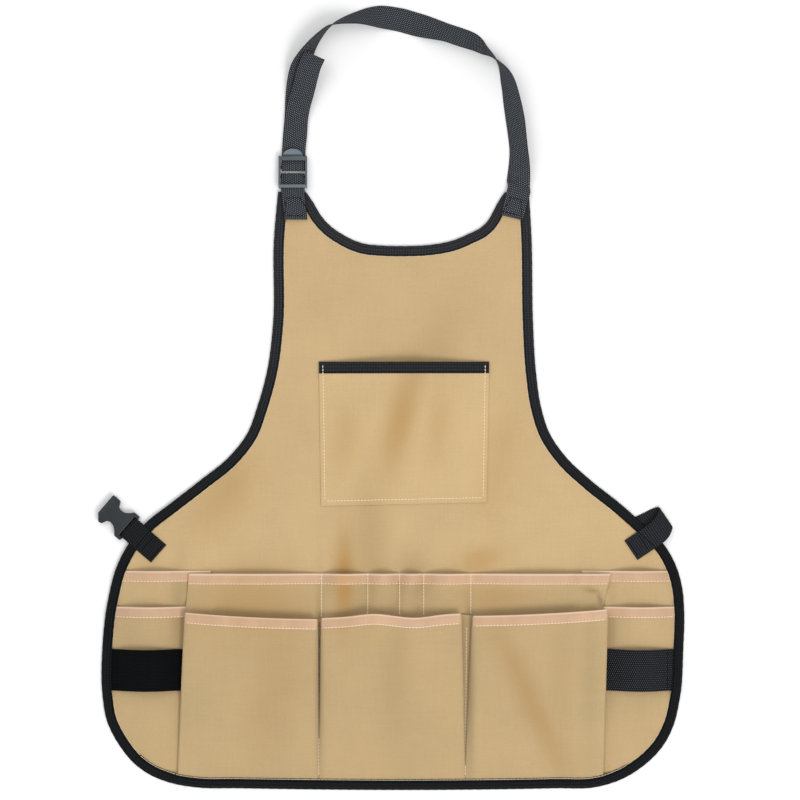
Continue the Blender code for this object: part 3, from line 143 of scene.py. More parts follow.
# The outer edge, from the wearer's right shoulder down round the skirt and up again.
# Columns: across, as a share of half the skirt's width; up, as a share of the body's length.
SKIRT_EDGE = (
    (-0.395, 1.000),
    (-0.409, 0.919),
    (-0.412, 0.779),
    (-0.433, 0.698),
    (-0.467, 0.638),
    (-0.498, 0.597),
    (-0.560, 0.557),
    (-0.660, 0.517),
    (-0.766, 0.477),
    (-0.849, 0.445),
    (-0.904, 0.413),
    (-0.945, 0.376),
    (-0.979, 0.315),
    (-0.998, 0.235),
    (-0.997, 0.154),
    (-0.983, 0.114),
    (-0.942, 0.0738),
    (-0.893, 0.0436),
    (-0.838, 0.0235),
    (-0.759, 0.0084),
    (-0.680, 0.0017),
    (-0.526, 0.000),
    (0.560, 0.000),
    (0.694, 0.0017),
    (0.777, 0.0134),
    (0.849, 0.0336),
    (0.897, 0.0537),
    (0.931, 0.0738),
    (0.962, 0.104),
    (0.986, 0.154),
    (0.997, 0.235),
    (1.000, 0.295),
    (0.993, 0.336),
    (0.969, 0.376),
    (0.931, 0.408),
    (0.869, 0.438),
    (0.780, 0.477),
    (0.677, 0.517),
    (0.591, 0.557),
    (0.536, 0.597),
    (0.509, 0.638),
    (0.491, 0.698),
    (0.481, 0.779),
    (0.476, 0.919),
    (0.467, 1.000),
)

# The neck scoop, from the wearer's left shoulder to the right one, in the same shares.
NECK_EDGE = (
    (0.385, 1.000),
    (0.373, 0.992),
    (0.359, 0.981),
    (0.344, 0.967),
    (0.325, 0.951),
    (0.299, 0.939),
    (0.262, 0.930),
    (0.210, 0.919),
    (0.127, 0.911),
    (0.041, 0.909),
    (-0.045, 0.910),
    (-0.100, 0.913),
    (-0.141, 0.920),
    (-0.175, 0.929),
    (-0.203, 0.938),
    (-0.230, 0.950),
    (-0.251, 0.963),
    (-0.271, 0.980),
    (-0.299, 1.000),
)

# Where the binding is joined, as shares of the skirt edge's length.
BINDING_JOINS = (0.355, 0.636)

# Soft humps of the body panel. Columns: across, up, half length and half width as shares of
# half the skirt's width, height as a share of the deepest hump, turn from +X in degrees.
DEEPEST_HUMP = 0.0034
HUMPS = (
    (-0.12, 0.740, 0.42, 0.22, 0.60, 12.0),
    (0.10, 0.640, 0.34, 0.20, 0.75, 80.0),
    (-0.45, 0.485, 0.40, 0.20, 0.85, -38.0),
    (0.42, 0.475, 0.40, 0.20, 0.80, 40.0),
    (-0.15, 0.425, 0.26, 0.17, 1.00, 74.0),
    (0.22, 0.400, 0.30, 0.17, 0.65, -20.0),
)
HUMP_EDGE_FADE = 0.036

# Each lower pocket's folded edges, as shares of the lower row's width from its left end.
# Columns: left and right at the mouth, left and right at the hem, then how far the mouth lies
# above the row's mouth line at its left, middle and right, as shares of the tape's width.
LOWER_POCKETS = (
    (0.0000, 0.3113, -0.0186, 0.3137, 0.29, -0.14, -0.37),
    (0.3235, 0.6526, 0.3170, 0.6627, -0.27, 0.05, 0.19),
    (0.6832, 1.0000, 0.6660, 0.9912, -0.04, 0.19, 0.61),
)

# Waves of the middle pocket's mouth. Columns: place and reach as shares of the mouth, height
# as a share of the tape's width.
MIDDLE_MOUTH_WAVES = ((0.36, 0.13, 0.20), (0.68, 0.16, -0.32))

# The neck strap. Columns: across, as a share of the span between the straps; up from the
# shoulder, as a share of the strap's rise; roll in degrees, where 90 stands on its edge. The
# roll goes through the smoothing of the route as a third coordinate, divided by its scale.
STRAP_LEFT = -0.3419
STRAP_SPAN = 0.2418
ROLL_SCALE = 2000.0
STRAP_ROUTE = (
    (0.0000, 0.190, 0.0),
    (0.0050, 0.290, 0.0),
    (0.0130, 0.407, 0.0),
    (0.0160, 0.499, 4.0),
    (0.0235, 0.591, 14.0),
    (0.0330, 0.657, 30.0),
    (0.0510, 0.711, 48.0),
    (0.0730, 0.762, 65.0),
    (0.0996, 0.808, 76.0),
    (0.1260, 0.845, 84.0),
    (0.1500, 0.874, 90.0),
    (0.1880, 0.899, 102.0),
    (0.2345, 0.917, 115.0),
    (0.2900, 0.931, 130.0),
    (0.3430, 0.938, 150.0),
    (0.4000, 0.937, 172.0),
    (0.4620, 0.926, 180.0),
    (0.5440, 0.899, 178.0),
    (0.6080, 0.876, 161.0),
    (0.6750, 0.852, 147.0),
    (0.7370, 0.827, 147.0),
    (0.7900, 0.803, 143.0),
    (0.8430, 0.754, 119.0),
    (0.8780, 0.724, 103.0),
    (0.9070, 0.686, 90.0),
    (0.9250, 0.651, 76.0),
    (0.9425, 0.602, 60.0),
    (0.9560, 0.543, 52.0),
    (0.9646, 0.488, 46.0),
    (0.9800, 0.385, 40.0),
    (0.9890, 0.298, 42.0),
    (0.9950, 0.228, 42.0),
    (0.9980, 0.136, 28.0),
    (0.9950, 0.054, 10.0),
)
TAIL_ROUTE = (
    (0.0960, 0.722, 14.0),
    (0.0770, 0.672, 14.0),
    (0.0584, 0.602, 12.0),
    (0.0420, 0.532, 8.0),
    (0.0265, 0.472, 3.0),
    (0.0150, 0.407, 0.0),
    (0.0080, 0.298, 0.0),
    (0.0020, 0.232, 0.0),
)

# The waist loop's webbing. Columns: along, as a share of the loop's length; aside, as a share
# of the webbing's width; height between the lower run, at 0, and the upper run, at 1.
WAIST_LOOP_ROUTE = (
    (0.70, 0.02, 1.02),
    (0.84, 0.10, 1.04),
    (0.94, 0.22, 0.92),
    (0.99, 0.30, 0.72),
    (1.00, 0.35, 0.50),
    (0.985, 0.38, 0.28),
    (0.94, 0.42, 0.10),
    (0.86, 0.46, 0.0),
)
WAIST_LOOP_RETURN = ((0.62, 0.52), (0.42, 0.59), (0.14, 0.68))

# Where the waist tab and the waist loop cross the edge, and how the edge rises over them.
TAB_CROSSINGS = ((-0.840, 0.415), (0.835, 0.425))
TAB_LIFT = SOLID_WEBBING + SOLID_GAP
TAB_LIFT_REACH = 0.030
TAB_LIFT_FADE = 0.080
WAIST_TAB_START = (-0.8038, 0.3936)
WAIST_LOOP_START = (0.8158, 0.3992)

# Darker patches of the cloth. Columns: across, up, half length and half width as shares of
# half the skirt's width, turn from +X in degrees, how much painted shade, how warm and dark.
# The painted shade greys the pleat gaps, the cloth beside the lower row's outer folds, the
# crease of the upper row's curled corner and the canvas under the chest pocket's binding,
# with soft grey patches elsewhere. The warm column tints soft brownish patches, and under the
# chest pocket's binding it is painted shade too.
PATCHES = (
    # Painted shade under the chest pocket's binding, grey and warm.
    (0.070, 0.700, 0.07, 0.050, 90.0, 0.22, 0.35),
    (0.026, 0.617, 0.19, 0.050, 77.0, 0.14, 0.62),
    (0.155, 0.610, 0.14, 0.045, 84.0, 0.05, 0.30),
    (-0.165, 0.580, 0.12, 0.050, 80.0, 0.05, 0.25),
    (0.367, 0.550, 0.22, 0.060, 80.0, 0.00, 0.25),
    (0.350, 0.320, 0.14, 0.050, 0.0, 0.05, 0.40),
    # Painted shade beside the lower row's left and right outer folds.
    (-0.735, 0.300, 0.18, 0.026, 88.0, 0.38, 0.0),
    (0.752, 0.240, 0.22, 0.014, 90.0, 0.30, 0.0),
    (-0.165, 0.352, 0.15, 0.034, 90.0, 0.16, 0.92),
    (-0.577, 0.486, 0.16, 0.080, 52.0, 0.05, 0.38),
    (0.160, 0.750, 0.14, 0.090, 70.0, 0.16, 0.10),
    (-0.079, 0.400, 0.24, 0.060, 90.0, 0.25, 0.18),
    (0.076, 0.358, 0.10, 0.060, 90.0, 0.28, 0.10),
    (0.298, 0.382, 0.08, 0.050, 20.0, 0.05, 0.55),
    (0.475, 0.145, 0.30, 0.042, -66.0, 0.22, 0.42),
    # Painted shade in a soft band down the right lower pocket.
    (0.575, 0.200, 0.20, 0.050, 86.0, 0.14, 0.06),
    (-0.480, 0.315, 0.18, 0.110, 0.0, 0.02, 0.42),
    (0.010, 0.200, 0.26, 0.050, 88.0, 0.20, 0.10),
    (-0.400, 0.180, 0.22, 0.080, 80.0, 0.14, 0.20),
    # Painted shade down the right lower pocket's right side, and in the two pleat gaps.
    (0.672, 0.190, 0.26, 0.030, 90.0, 0.24, 0.0),
    (0.262, 0.170, 0.28, 0.016, 90.0, 0.85, 0.0),
    (-0.2525, 0.170, 0.28, 0.012, 90.0, 0.90, 0.0),
    # Painted shade in the crease under the upper row's curled corner.
    (0.680, 0.3315, 0.030, 0.0075, -16.0, 0.62, 0.0),
    (0.711, 0.3160, 0.028, 0.008, -70.0, 0.85, 0.0),
)

# Soft folds. Columns: the piece, then from and to as across and up, half width as a share of
# half the skirt's width, height as a share of the deepest hump.
FOLDS = (
    ("upper", 0.650, 0.336, 0.700, 0.327, 0.011, -0.80),
    ("upper", 0.700, 0.327, 0.714, 0.302, 0.011, -0.90),
    ("upper", 0.660, 0.351, 0.722, 0.330, 0.014, 0.70),
    ("lower", 0.370, 0.275, 0.590, 0.020, 0.040, 0.55),
    ("lower", -0.012, 0.265, -0.020, 0.060, 0.040, 0.35),
    ("lower", -0.080, 0.240, -0.060, 0.080, 0.030, -0.25),
    ("chest", 0.078, 0.700, 0.082, 0.560, 0.045, -0.40),
    ("body", 0.220, 0.370, 0.340, 0.470, 0.050, 0.25),
    ("body", -0.620, 0.440, -0.520, 0.530, 0.050, 0.25),
)

# How bright each canvas is, where 1 is the canvas's own colour.
CANVAS_BRIGHTNESS = {
    "body": 0.97,
    "back": 0.91,
    "front": 0.86,
    "upper": 0.87,
    "lower": 0.84,
    "chest": 1.02,
}

# The weave of each webbing: the material's name, how bright its low and its high threads are
# against the webbing's colour, the width of a thread, and whether its ribs run across.
WEAVES = {
    "left_tool_loop": ("webbing_wide_left", 0.15, 1.1, 0.0023, False),
    "right_tool_loop": ("webbing_wide_right", 0.4, 8.5, 0.0023, False),
    "neck_strap": ("webbing_neck_strap", 0.9, 25.0, 0.0020, False),
    "shoulder_tab": ("webbing_shoulder_tab", 0.8, 24.0, 0.0020, False),
    "waist_tab": ("webbing_waist_tab", 0.4, 3.4, 0.0026, True),
    "waist_loop": ("webbing_waist_loop", 0.6, 5.8, 0.0026, True),
}

# The stage. Lights: name, place, size and power. The camera looks straight down and sees a
# square of the floor this wide.
FLOOR_LEVEL = -0.0003
WORLD_STRENGTH = 0.75
LIGHTS = (
    ("key_light", (0.8, -1.2, 2.1), 1.0, 27.0),
    ("fill_light", (-1.1, 0.9, 2.4), 1.6, 12.0),
)
CAMERA_SPOT = (0.00963, -0.00321, 3.0)
SEEN_WIDTH = 0.856

# The left and right of the view, with the sign of their x.
SIDES = ((-1, "left"), (1, "right"))

# The field of heights: distance between its points, its low corner, its points along x and
# y, and how many times a cloth laid on it is softened.
PITCH = 0.002
LOW_CORNER = (-0.345, -0.445)
LAY_CELLS = (346, 446)
DRAPE_PASSES = 24


def length_property(name, description, default, smallest):
    return bpy.props.FloatProperty(
        name=name,
        description=description,
        default=default,
        min=smallest,
        unit="LENGTH",
    )


class ApronSizes(bpy.types.PropertyGroup):
    """Thicknesses of the cloth, and how finely it is modelled."""

    canvas: length_property("Canvas", "Thickness of the canvas", 0.0009, 0.0004)
    tape: length_property("Tape", "Thickness of the mouth tapes", 0.0006, 0.0002)
    binding: length_property("Binding", "Thickness of the edge binding", 0.0009, 0.0004)
    webbing: length_property("Webbing", "Thickness of the webbing", 0.0013, 0.0008)
    gap: length_property("Gap", "Space between layers that are sewn together", 0.0002, 0.0001)
    cell: length_property("Cell", "Size of the mesh cells of large cloths", 0.0035, 0.002)


class ApronStitches(bpy.types.PropertyGroup):
    """Size and spacing of the stitches."""

    pitch: length_property("Pitch", "Distance from one stitch to the next", 0.0036, 0.001)
    length: length_property("Length", "Length of one stitch", 0.0029, 0.001)
    thickness: length_property("Thread", "Thickness of the thread", 0.0010, 0.0002)


def colour_property(name, description, default):
    return bpy.props.FloatVectorProperty(
        name=name,
        description=description,
        default=default,
        size=3,
        min=0.0,
        max=1.0,
        subtype="COLOR",
    )


class ApronColours(bpy.types.PropertyGroup):
    """Base colours of the materials."""

    canvas: colour_property("Canvas", "Colour of the canvas", (0.560, 0.400, 0.205))
    # Colour of the painted shade in the pleat gaps, beside folds and under the chest pocket's
    # binding.
    painted_shade_colour: colour_property(
        "Grey patch", "Colour of the canvas where it is greyed", (0.250, 0.185, 0.095)
    )
    # Colour of the warm darker patches; under the chest pocket's binding this warm tint is painted
    # shade.
    warm_dark_colour: colour_property(
        "Rusty patch", "Colour of the canvas where it is stained", (0.420, 0.235, 0.070)
    )
    tape: colour_property("Tape", "Colour of the mouth tapes", (0.615, 0.390, 0.240))
    # Colour of the painted highlight along the tapes' fold.
    tape_fold: colour_property(
        "Tape fold", "Colour of the mouth tapes' worn fold", (0.86, 0.70, 0.52)
    )
    binding: colour_property(
        "Binding", "Colour of the edge binding", (0.0075, 0.008, 0.009)
    )
    webbing: colour_property(
        "Webbing", "Colour of the webbing", (0.010, 0.011, 0.0125)
    )
    plastic: colour_property(
        "Plastic", "Colour of the moulded buckles", (0.012, 0.0150, 0.0175)
    )
    thread: colour_property(
        "Thread", "Colour of the light stitches", (0.880, 0.740, 0.510)
    )
    floor: colour_property("Floor", "Colour of the floor", (0.93, 0.93, 0.93))


def sizes():
    return bpy.context.scene.apron_sizes


def lerp(first, last, share):
    return first + (last - first) * share


def ease(share):
    share = np.clip(share, 0.0, 1.0)
    return share * share * (3.0 - 2.0 * share)


def bulge(share, power=1.5):
    """A soft swell that is flat at both ends."""
    return np.sin(np.pi * np.clip(share, 0.0, 1.0)) ** power


def below_tape(depth_share, tape_share):
    """How far down a pocket a place is, from 0 at its tape's lower edge to 1."""
    return np.maximum(depth_share - tape_share, 0.0) / (1.0 - tape_share)


class Lay:
    """How high the pieces laid down so far reach, seen from above."""

    HIGH = 1.0

    def __init__(self):
        self.height = np.zeros((LAY_CELLS[1], LAY_CELLS[0]))
        self.trees = []

    def add(self, bm):
        tree = BVHTree.FromBMesh(bm)
        self.trees.append(tree)
        points = np.array([vert.co for vert in bm.verts])
        low = (points.min(axis=0)[:2] - LOW_CORNER) / PITCH
        high = (points.max(axis=0)[:2] - LOW_CORNER) / PITCH
        down = Vector((0.0, 0.0, -1.0))
        for row in range(max(int(low[1]), 0), min(int(high[1]) + 2, LAY_CELLS[1])):
            y = LOW_CORNER[1] + row * PITCH
            for column in range(max(int(low[0]), 0), min(int(high[0]) + 2, LAY_CELLS[0])):
                x = LOW_CORNER[0] + column * PITCH
                hit = tree.ray_cast(Vector((x, y, self.HIGH)), down)[0]
                if hit is not None and hit.z > self.height[row, column]:
                    self.height[row, column] = hit.z

    def draped(self, passes=DRAPE_PASSES):
        """The heights that a cloth laid on the pile would keep to, without sharp steps."""
        padded = np.pad(self.height, 1, mode="edge")
        rows, columns = self.height.shape
        need = self.height.copy()
        for i in range(3):
            for j in range(3):
                need = np.maximum(need, padded[i : i + rows, j : j + columns])
        soft = need.copy()
        for _ in range(passes):
            around = np.pad(soft, 1, mode="edge")
            sides = around[:-2, 1:-1] + around[2:, 1:-1] + around[1:-1, :-2] + around[1:-1, 2:]
            soft = np.maximum(need, (sides + 2.0 * soft) / 6.0)
        return soft

    def top(self, x, y):
        """The highest point at one place."""
        height = 0.0
        for tree in self.trees:
            hit = tree.ray_cast(Vector((x, y, self.HIGH)), Vector((0.0, 0.0, -1.0)))[0]
            if hit is not None:
                height = max(height, hit.z)
        return height

    def around(self, x, y, reach):
        """The highest point within a small square."""
        steps = (-1.0, -0.5, 0.0, 0.5, 1.0)
        return max(self.top(x + reach * i, y + reach * j) for i in steps for j in steps)


def read(field, x, y):
    """The value of a field of heights at places between its points."""
    column = np.clip((np.asarray(x) - LOW_CORNER[0]) / PITCH, 0, LAY_CELLS[0] - 1.001)
    row = np.clip((np.asarray(y) - LOW_CORNER[1]) / PITCH, 0, LAY_CELLS[1] - 1.001)
    i, j = np.floor(row).astype(int), np.floor(column).astype(int)
    b, a = row - i, column - j
    lower = field[i, j] * (1 - a) + field[i, j + 1] * a
    upper = field[i + 1, j] * (1 - a) + field[i + 1, j + 1] * a
    return lower * (1 - b) + upper * b


# The pile of pieces so far, and what the later pieces and the stitches need of the earlier ones.
LAY = Lay()
SEAMS = {}


def hermite(start, first, stop, last, t):
    """A point of the smooth curve between two points, from the tangents there."""
    return (
        start * (2 * t**3 - 3 * t**2 + 1)
        + first * (t**3 - 2 * t**2 + t)
        + stop * (3 * t**2 - 2 * t**3)
        + last * (t**3 - t**2)
    )


def curve_through(points, step):
    """A smooth line through the points, with a point about every step."""
    points = [Vector(point) for point in points]
    count = len(points)
    spans = [(points[i + 1] - points[i]).length for i in range(count - 1)]
    slopes = [(points[i + 1] - points[i]) / spans[i] for i in range(count - 1)]
    tangents = [slopes[0]]
    for i in range(1, count - 1):
        weight = spans[i] + spans[i - 1]
        tangents.append((slopes[i - 1] * spans[i] + slopes[i] * spans[i - 1]) / weight)
    tangents.append(slopes[-1])
    line = []
    for i, span in enumerate(spans):
        first, last = tangents[i] * span, tangents[i + 1] * span
        pieces = max(1, round(span / step))
        line += [hermite(points[i], first, points[i + 1], last, k / pieces) for k in range(pieces)]
    line.append(points[-1])
    return line


def run_along(line):
    """How far along a line each of its points lies."""
    steps = np.linalg.norm(np.diff(line, axis=0), axis=1)
    return np.concatenate([[0.0], np.cumsum(steps)])


def share_point(across, up):
    return Vector((SKIRT_X + across * SKIRT_WIDTH / 2, HEM_Y + up * BODY_LENGTH))


def edge_line(table):
    return np.array(curve_through([share_point(*row) for row in table], 0.003))


SKIRT_LINE = edge_line(SKIRT_EDGE)
NECK_LINE = edge_line(NECK_EDGE)


def inward_normals(line):
    """The left-hand normal of each point, which is inwards on both edges."""
    along = np.gradient(line, axis=0)
    normals = np.stack([-along[:, 1], along[:, 0]], axis=1)
    return normals / np.linalg.norm(normals, axis=1)[:, None]


def crossings(line, axis, value):
    """The other coordinates of the places where a line crosses a value of x or y."""
    low, high = line[:-1], line[1:]
    crossed = (np.minimum(low[:, axis], high[:, axis]) <= value) & (
        np.maximum(low[:, axis], high[:, axis]) > value
    )
    run = (value - low[crossed, axis]) / (high[crossed, axis] - low[crossed, axis])
    return lerp(low[crossed, 1 - axis], high[crossed, 1 - axis], run)


@functools.lru_cache(maxsize=None)
def side_x(distance, y, side):
    """The x of the skirt's edge, moved in by the distance, at the height y."""
    found = crossings(SKIRT_LINE + inward_normals(SKIRT_LINE) * distance, 1, y)
    return side * float((side * found).max())


@functools.lru_cache(maxsize=None)
def hem_edge_y(x):
    """How high the apron's outer edge lies at its bottom, at this x."""
    return float(crossings(SKIRT_LINE, 0, x).min())


def distance_to_edge(points):
    """How far each of many points is from the apron's edge."""
    nearest = np.full(len(points), 1.0)
    for line in (SKIRT_LINE, NECK_LINE):
        for first, last in zip(line[:-1], line[1:]):
            run = last - first
            share = np.clip((points - first) @ run / (run @ run), 0.0, 1.0)
            away = np.linalg.norm(points - first - share[:, None] * run, axis=1)
            nearest = np.minimum(nearest, away)
    return nearest


def inside(points, outline):
    """Which of many points lie inside a closed outline."""
    found = np.zeros(len(points), bool)
    x, y = points[:, 0], points[:, 1]
    for first, last in zip(outline, np.roll(outline, -1, axis=0)):
        if first[1] == last[1]:
            continue
        between = (first[1] > y) != (last[1] > y)
        cross = (last[0] - first[0]) * (y - first[1]) / (last[1] - first[1]) + first[0]
        found ^= between & (x < cross)
    return found


def oval_distance(x, y, across, up, half_length, half_width, turn):
    """How far places are from an oval's middle, 1 at its rim."""
    half = SKIRT_WIDTH / 2
    middle = share_point(across, up)
    cos, sin = math.cos(math.radians(turn)), math.sin(math.radians(turn))
    along = ((x - middle.x) * cos + (y - middle.y) * sin) / (half_length * half)
    aside = ((y - middle.y) * cos - (x - middle.x) * sin) / (half_width * half)
    return np.hypot(along, aside)


def hump_height(x, y):
    """The soft humps of the body panel."""
    total = np.zeros(np.shape(x))
    for across, up, half_length, half_width, height, turn in HUMPS:
        away = oval_distance(x, y, across, up, half_length, half_width, turn)
        total += DEEPEST_HUMP * height * np.cos(np.pi / 2 * np.minimum(away, 1.0)) ** 2
    return total


def edge_lift(x, y):
    """How far the apron is lifted by the webbing under its edge."""
    lift = np.zeros(np.shape(x))
    for crossing in TAB_CROSSINGS:
        middle = share_point(*crossing)
        away = np.hypot(x - middle.x, y - middle.y) - TAB_LIFT_REACH
        lift = np.maximum(lift, TAB_LIFT * (1.0 - ease(away / TAB_LIFT_FADE)))
    return lift


def fold_height(piece, x, y):
    """The soft folds of one piece."""
    total = np.zeros(np.shape(x))
    for name, from_across, from_up, to_across, to_up, half_width, height in FOLDS:
        if name != piece:
            continue
        start, stop = share_point(from_across, from_up), share_point(to_across, to_up)
        run = stop - start
        share = ((x - start.x) * run.x + (y - start.y) * run.y) / run.dot(run)
        held = np.clip(share, 0.0, 1.0)
        away = np.hypot(x - start.x - held * run.x, y - start.y - held * run.y)
        profile = np.exp(-((away / (half_width * SKIRT_WIDTH / 2)) ** 2))
        total += DEEPEST_HUMP * height * profile * np.sin(np.pi * np.clip(held, 0.12, 0.88))
    return total


def ripples(x, y, size, seed):
    """Slight unevenness of a cloth, from 0 to 1."""
    flat_x, flat_y = np.ravel(x), np.ravel(y)
    values = [
        noise.noise(Vector((a / size, b / size, seed))) for a, b in zip(flat_x, flat_y)
    ]
    return (0.5 + 0.5 * np.array(values)).reshape(np.shape(x))


def finish(name, bm, look, slot, replaced, smooth_angle=40.0):
    """Turns the faces outwards, lays the piece on the pile and makes its object."""
    bm.normal_update()
    bmesh.ops.recalc_face_normals(bm, faces=bm.faces[:])
    LAY.add(bm)
    mesh = bpy.data.meshes.new(name)
    bm.to_mesh(mesh)
    bm.free()
    return dress(name, mesh, look, slot, replaced, smooth_angle)


def dress(name, mesh, look, slot, replaced=(), smooth_angle=40.0):
    mesh.shade_smooth()
    mesh.set_sharp_from_angle(angle=math.radians(smooth_angle))
    mesh.materials.append(look)
    made = bpy.data.objects.new(name, mesh)
    bpy.context.scene.collection.objects.link(made)
    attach(made, "root")
    if replaced:
        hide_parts(*replaced)
    return made


def paint_patches(made):
    """Marks the painted shade and the warm darker patches on the points of a cloth or a tape."""
    mesh = made.data
    points = np.zeros(len(mesh.vertices) * 3, np.float32)
    mesh.vertices.foreach_get("co", points)
    points = points.reshape(-1, 3)
    grey, rusty = np.zeros(len(points)), np.zeros(len(points))
    for across, up, half_length, half_width, turn, how_shaded, how_warm in PATCHES:
        away = oval_distance(
            points[:, 0], points[:, 1], across, up, half_length, half_width, turn
        )
        spot = np.exp(-(away**2))
        grey = np.maximum(grey, how_shaded * spot)
        rusty = np.maximum(rusty, how_warm * spot)
    for name, values in (("grey", grey), ("rusty", rusty)):
        layer = mesh.attributes.new(name, "FLOAT", "POINT")
        layer.data.foreach_set("value", values.astype(np.float32))


def sheet(low, high):
    """A closed sheet between two grids of points, each an array of rows, columns and xyz."""
    rows, columns = low.shape[:2]
    bm = bmesh.new()
    place = bm.verts.layers.int.new("place")
    bmesh.ops.create_grid(bm, x_segments=columns - 1, y_segments=rows - 1, size=1.0)
    for index, vert in enumerate(bm.verts):
        vert[place] = index
    grown = bmesh.ops.extrude_face_region(bm, geom=bm.faces[:])["geom"]
    raised = {item for item in grown if isinstance(item, bmesh.types.BMVert)}
    for vert in bm.verts:
        row, column = divmod(vert[place], columns)
        vert.co = (high if vert in raised else low)[row, column]
    bm.verts.layers.int.remove(place)
    return bm


def skin(rings, across):
    """A closed skin through rings of points. Its UV map holds metres across and along."""
    rings = np.array(rings)
    count = rings.shape[1]
    bm = bmesh.new()
    uv = bm.loops.layers.uv.new("UVMap")
    bmesh.ops.create_grid(bm, x_segments=count, y_segments=len(rings) - 1, size=1.0)
    wrapped = np.concatenate([rings, rings[:, :1]], axis=1)
    along = run_along(rings.mean(axis=1))
    bm.verts.index_update()
    for face in bm.faces:
        for loop in face.loops:
            row, column = divmod(loop.vert.index, count + 1)
            loop[uv].uv = (across[column % count], along[row])
    for vert, point in zip(bm.verts, wrapped.reshape(-1, 3)):
        vert.co = point
    bmesh.ops.remove_doubles(bm, verts=bm.verts[:], dist=1e-7)
    ends = [edge for edge in bm.edges if edge.is_boundary]
    bmesh.ops.holes_fill(bm, edges=ends)
    return bm


def shares_between(first, last, length, step):
    """Even shares from first to last for a length, about a step apart."""
    count = max(2, math.ceil(abs(last - first) * length / step))
    return list(np.linspace(first, last, count + 1))


def depth_shares(depth, tape_width):
    """Rows from a mouth down: three over the tape, and then even ones."""
    tape_share = tape_width / depth
    rows = [0.0, tape_share / 3, tape_share * 2 / 3, tape_share]
    return rows + shares_between(tape_share, 1.0, depth, sizes().cell)[1:]


def laid_cloth(place, lift, shares, columns, tape_share):
    """The underside of a cloth on the pile, row by row from its mouth to its bottom.

    place(u, v) gives a point of the flat cloth and lift(u, v) how far it stands off what
    lies beneath. At the mouth there is room under the cloth for the tape's back flange.
    """
    size = sizes()
    flat = np.array([[place(u, v) for u in columns] for v in shares])
    rise = np.array([[lift(u, v) for u in columns] for v in shares])
    x, y = flat[..., 0], flat[..., 1]
    z = read(LAY.draped(), x, y) + size.gap
    if tape_share:
        taped = np.array(shares) <= tape_share + 1e-6
        level = (z + rise)[taped].max(axis=0) + size.tape + size.gap
        below = (np.array(shares) - tape_share) / (0.9 * tape_share)
        kept = np.where(taped, 1.0, 1.0 - ease(below))[:, None]
        z = np.maximum(z + rise, (z + rise) * (1 - kept) + level * kept)
    else:
        z = z + rise
    return np.stack([x, y, z], axis=-1)


def thickened(low, thickness):
    high = low.copy()
    high[..., 2] += thickness
    return high


def tape_section(length):
    """A tape folded over a mouth. Each point: along, from the tape's lower edge at 0 to the
    mouth; height above the underside of the cloth."""
    size = sizes()
    cloth, wall, slack = size.canvas, size.tape, size.gap / 2
    outer, inner = cloth / 2 + slack + wall, cloth / 2 + slack
    centre = cloth / 2
    section = [(0.0, centre + inner), (0.0002, centre + outer - 0.0001)]
    section += [(0.0008, centre + outer), (length * 0.5, centre + outer)]
    for angle in (90, 60, 30, 0, -30, -60, -90):
        radians = math.radians(angle)
        point = (length + outer * math.cos(radians), centre + outer * math.sin(radians))
        section.append(point)
    section += [(length * 0.5, centre - outer), (0.0, centre - outer)]
    section += [(0.0, centre - inner), (length * 0.5, centre - inner)]
    section += [(length, centre - inner), (length + inner, centre)]
    section += [(length, centre + inner), (length * 0.5, centre + inner)]
    return section


def mouth_tape(name, mouth, foot, look, replaced, slot="satin_tape"):
    """A tape folded over the mouth of a cloth, from the undersides of its mouth and of the
    line where the tape ends."""
    rings = []
    for top, bottom in zip(mouth, foot):
        run = top[:2] - bottom[:2]
        length = float(np.linalg.norm(run))
        up = run / length
        z = max(top[2], bottom[2])
        rings.append(
            [(*(bottom[:2] + up * along), z + height) for along, height in tape_section(length)]
        )
    across = run_along(np.array(tape_section(length)))
    made = finish(name, skin(rings, across), look, slot, replaced)
    paint_patches(made)
    return made


def lay_pocket(name, node, low, brightness, flat, tape):
    """A pocket's cloth from its underside, and the tape over its mouth, which is given by its
    name, its node, its look and its slot."""
    cloth = finish(
        name,
        sheet(low, thickened(low, sizes().canvas)),
        canvas_look(name, brightness),
        "canvas",
        [node],
    )
    paint_patches(cloth)
    tape_name, tape_node, look, slot = tape
    made = mouth_tape(tape_name, low[0], low[3], look, [tape_node], slot)


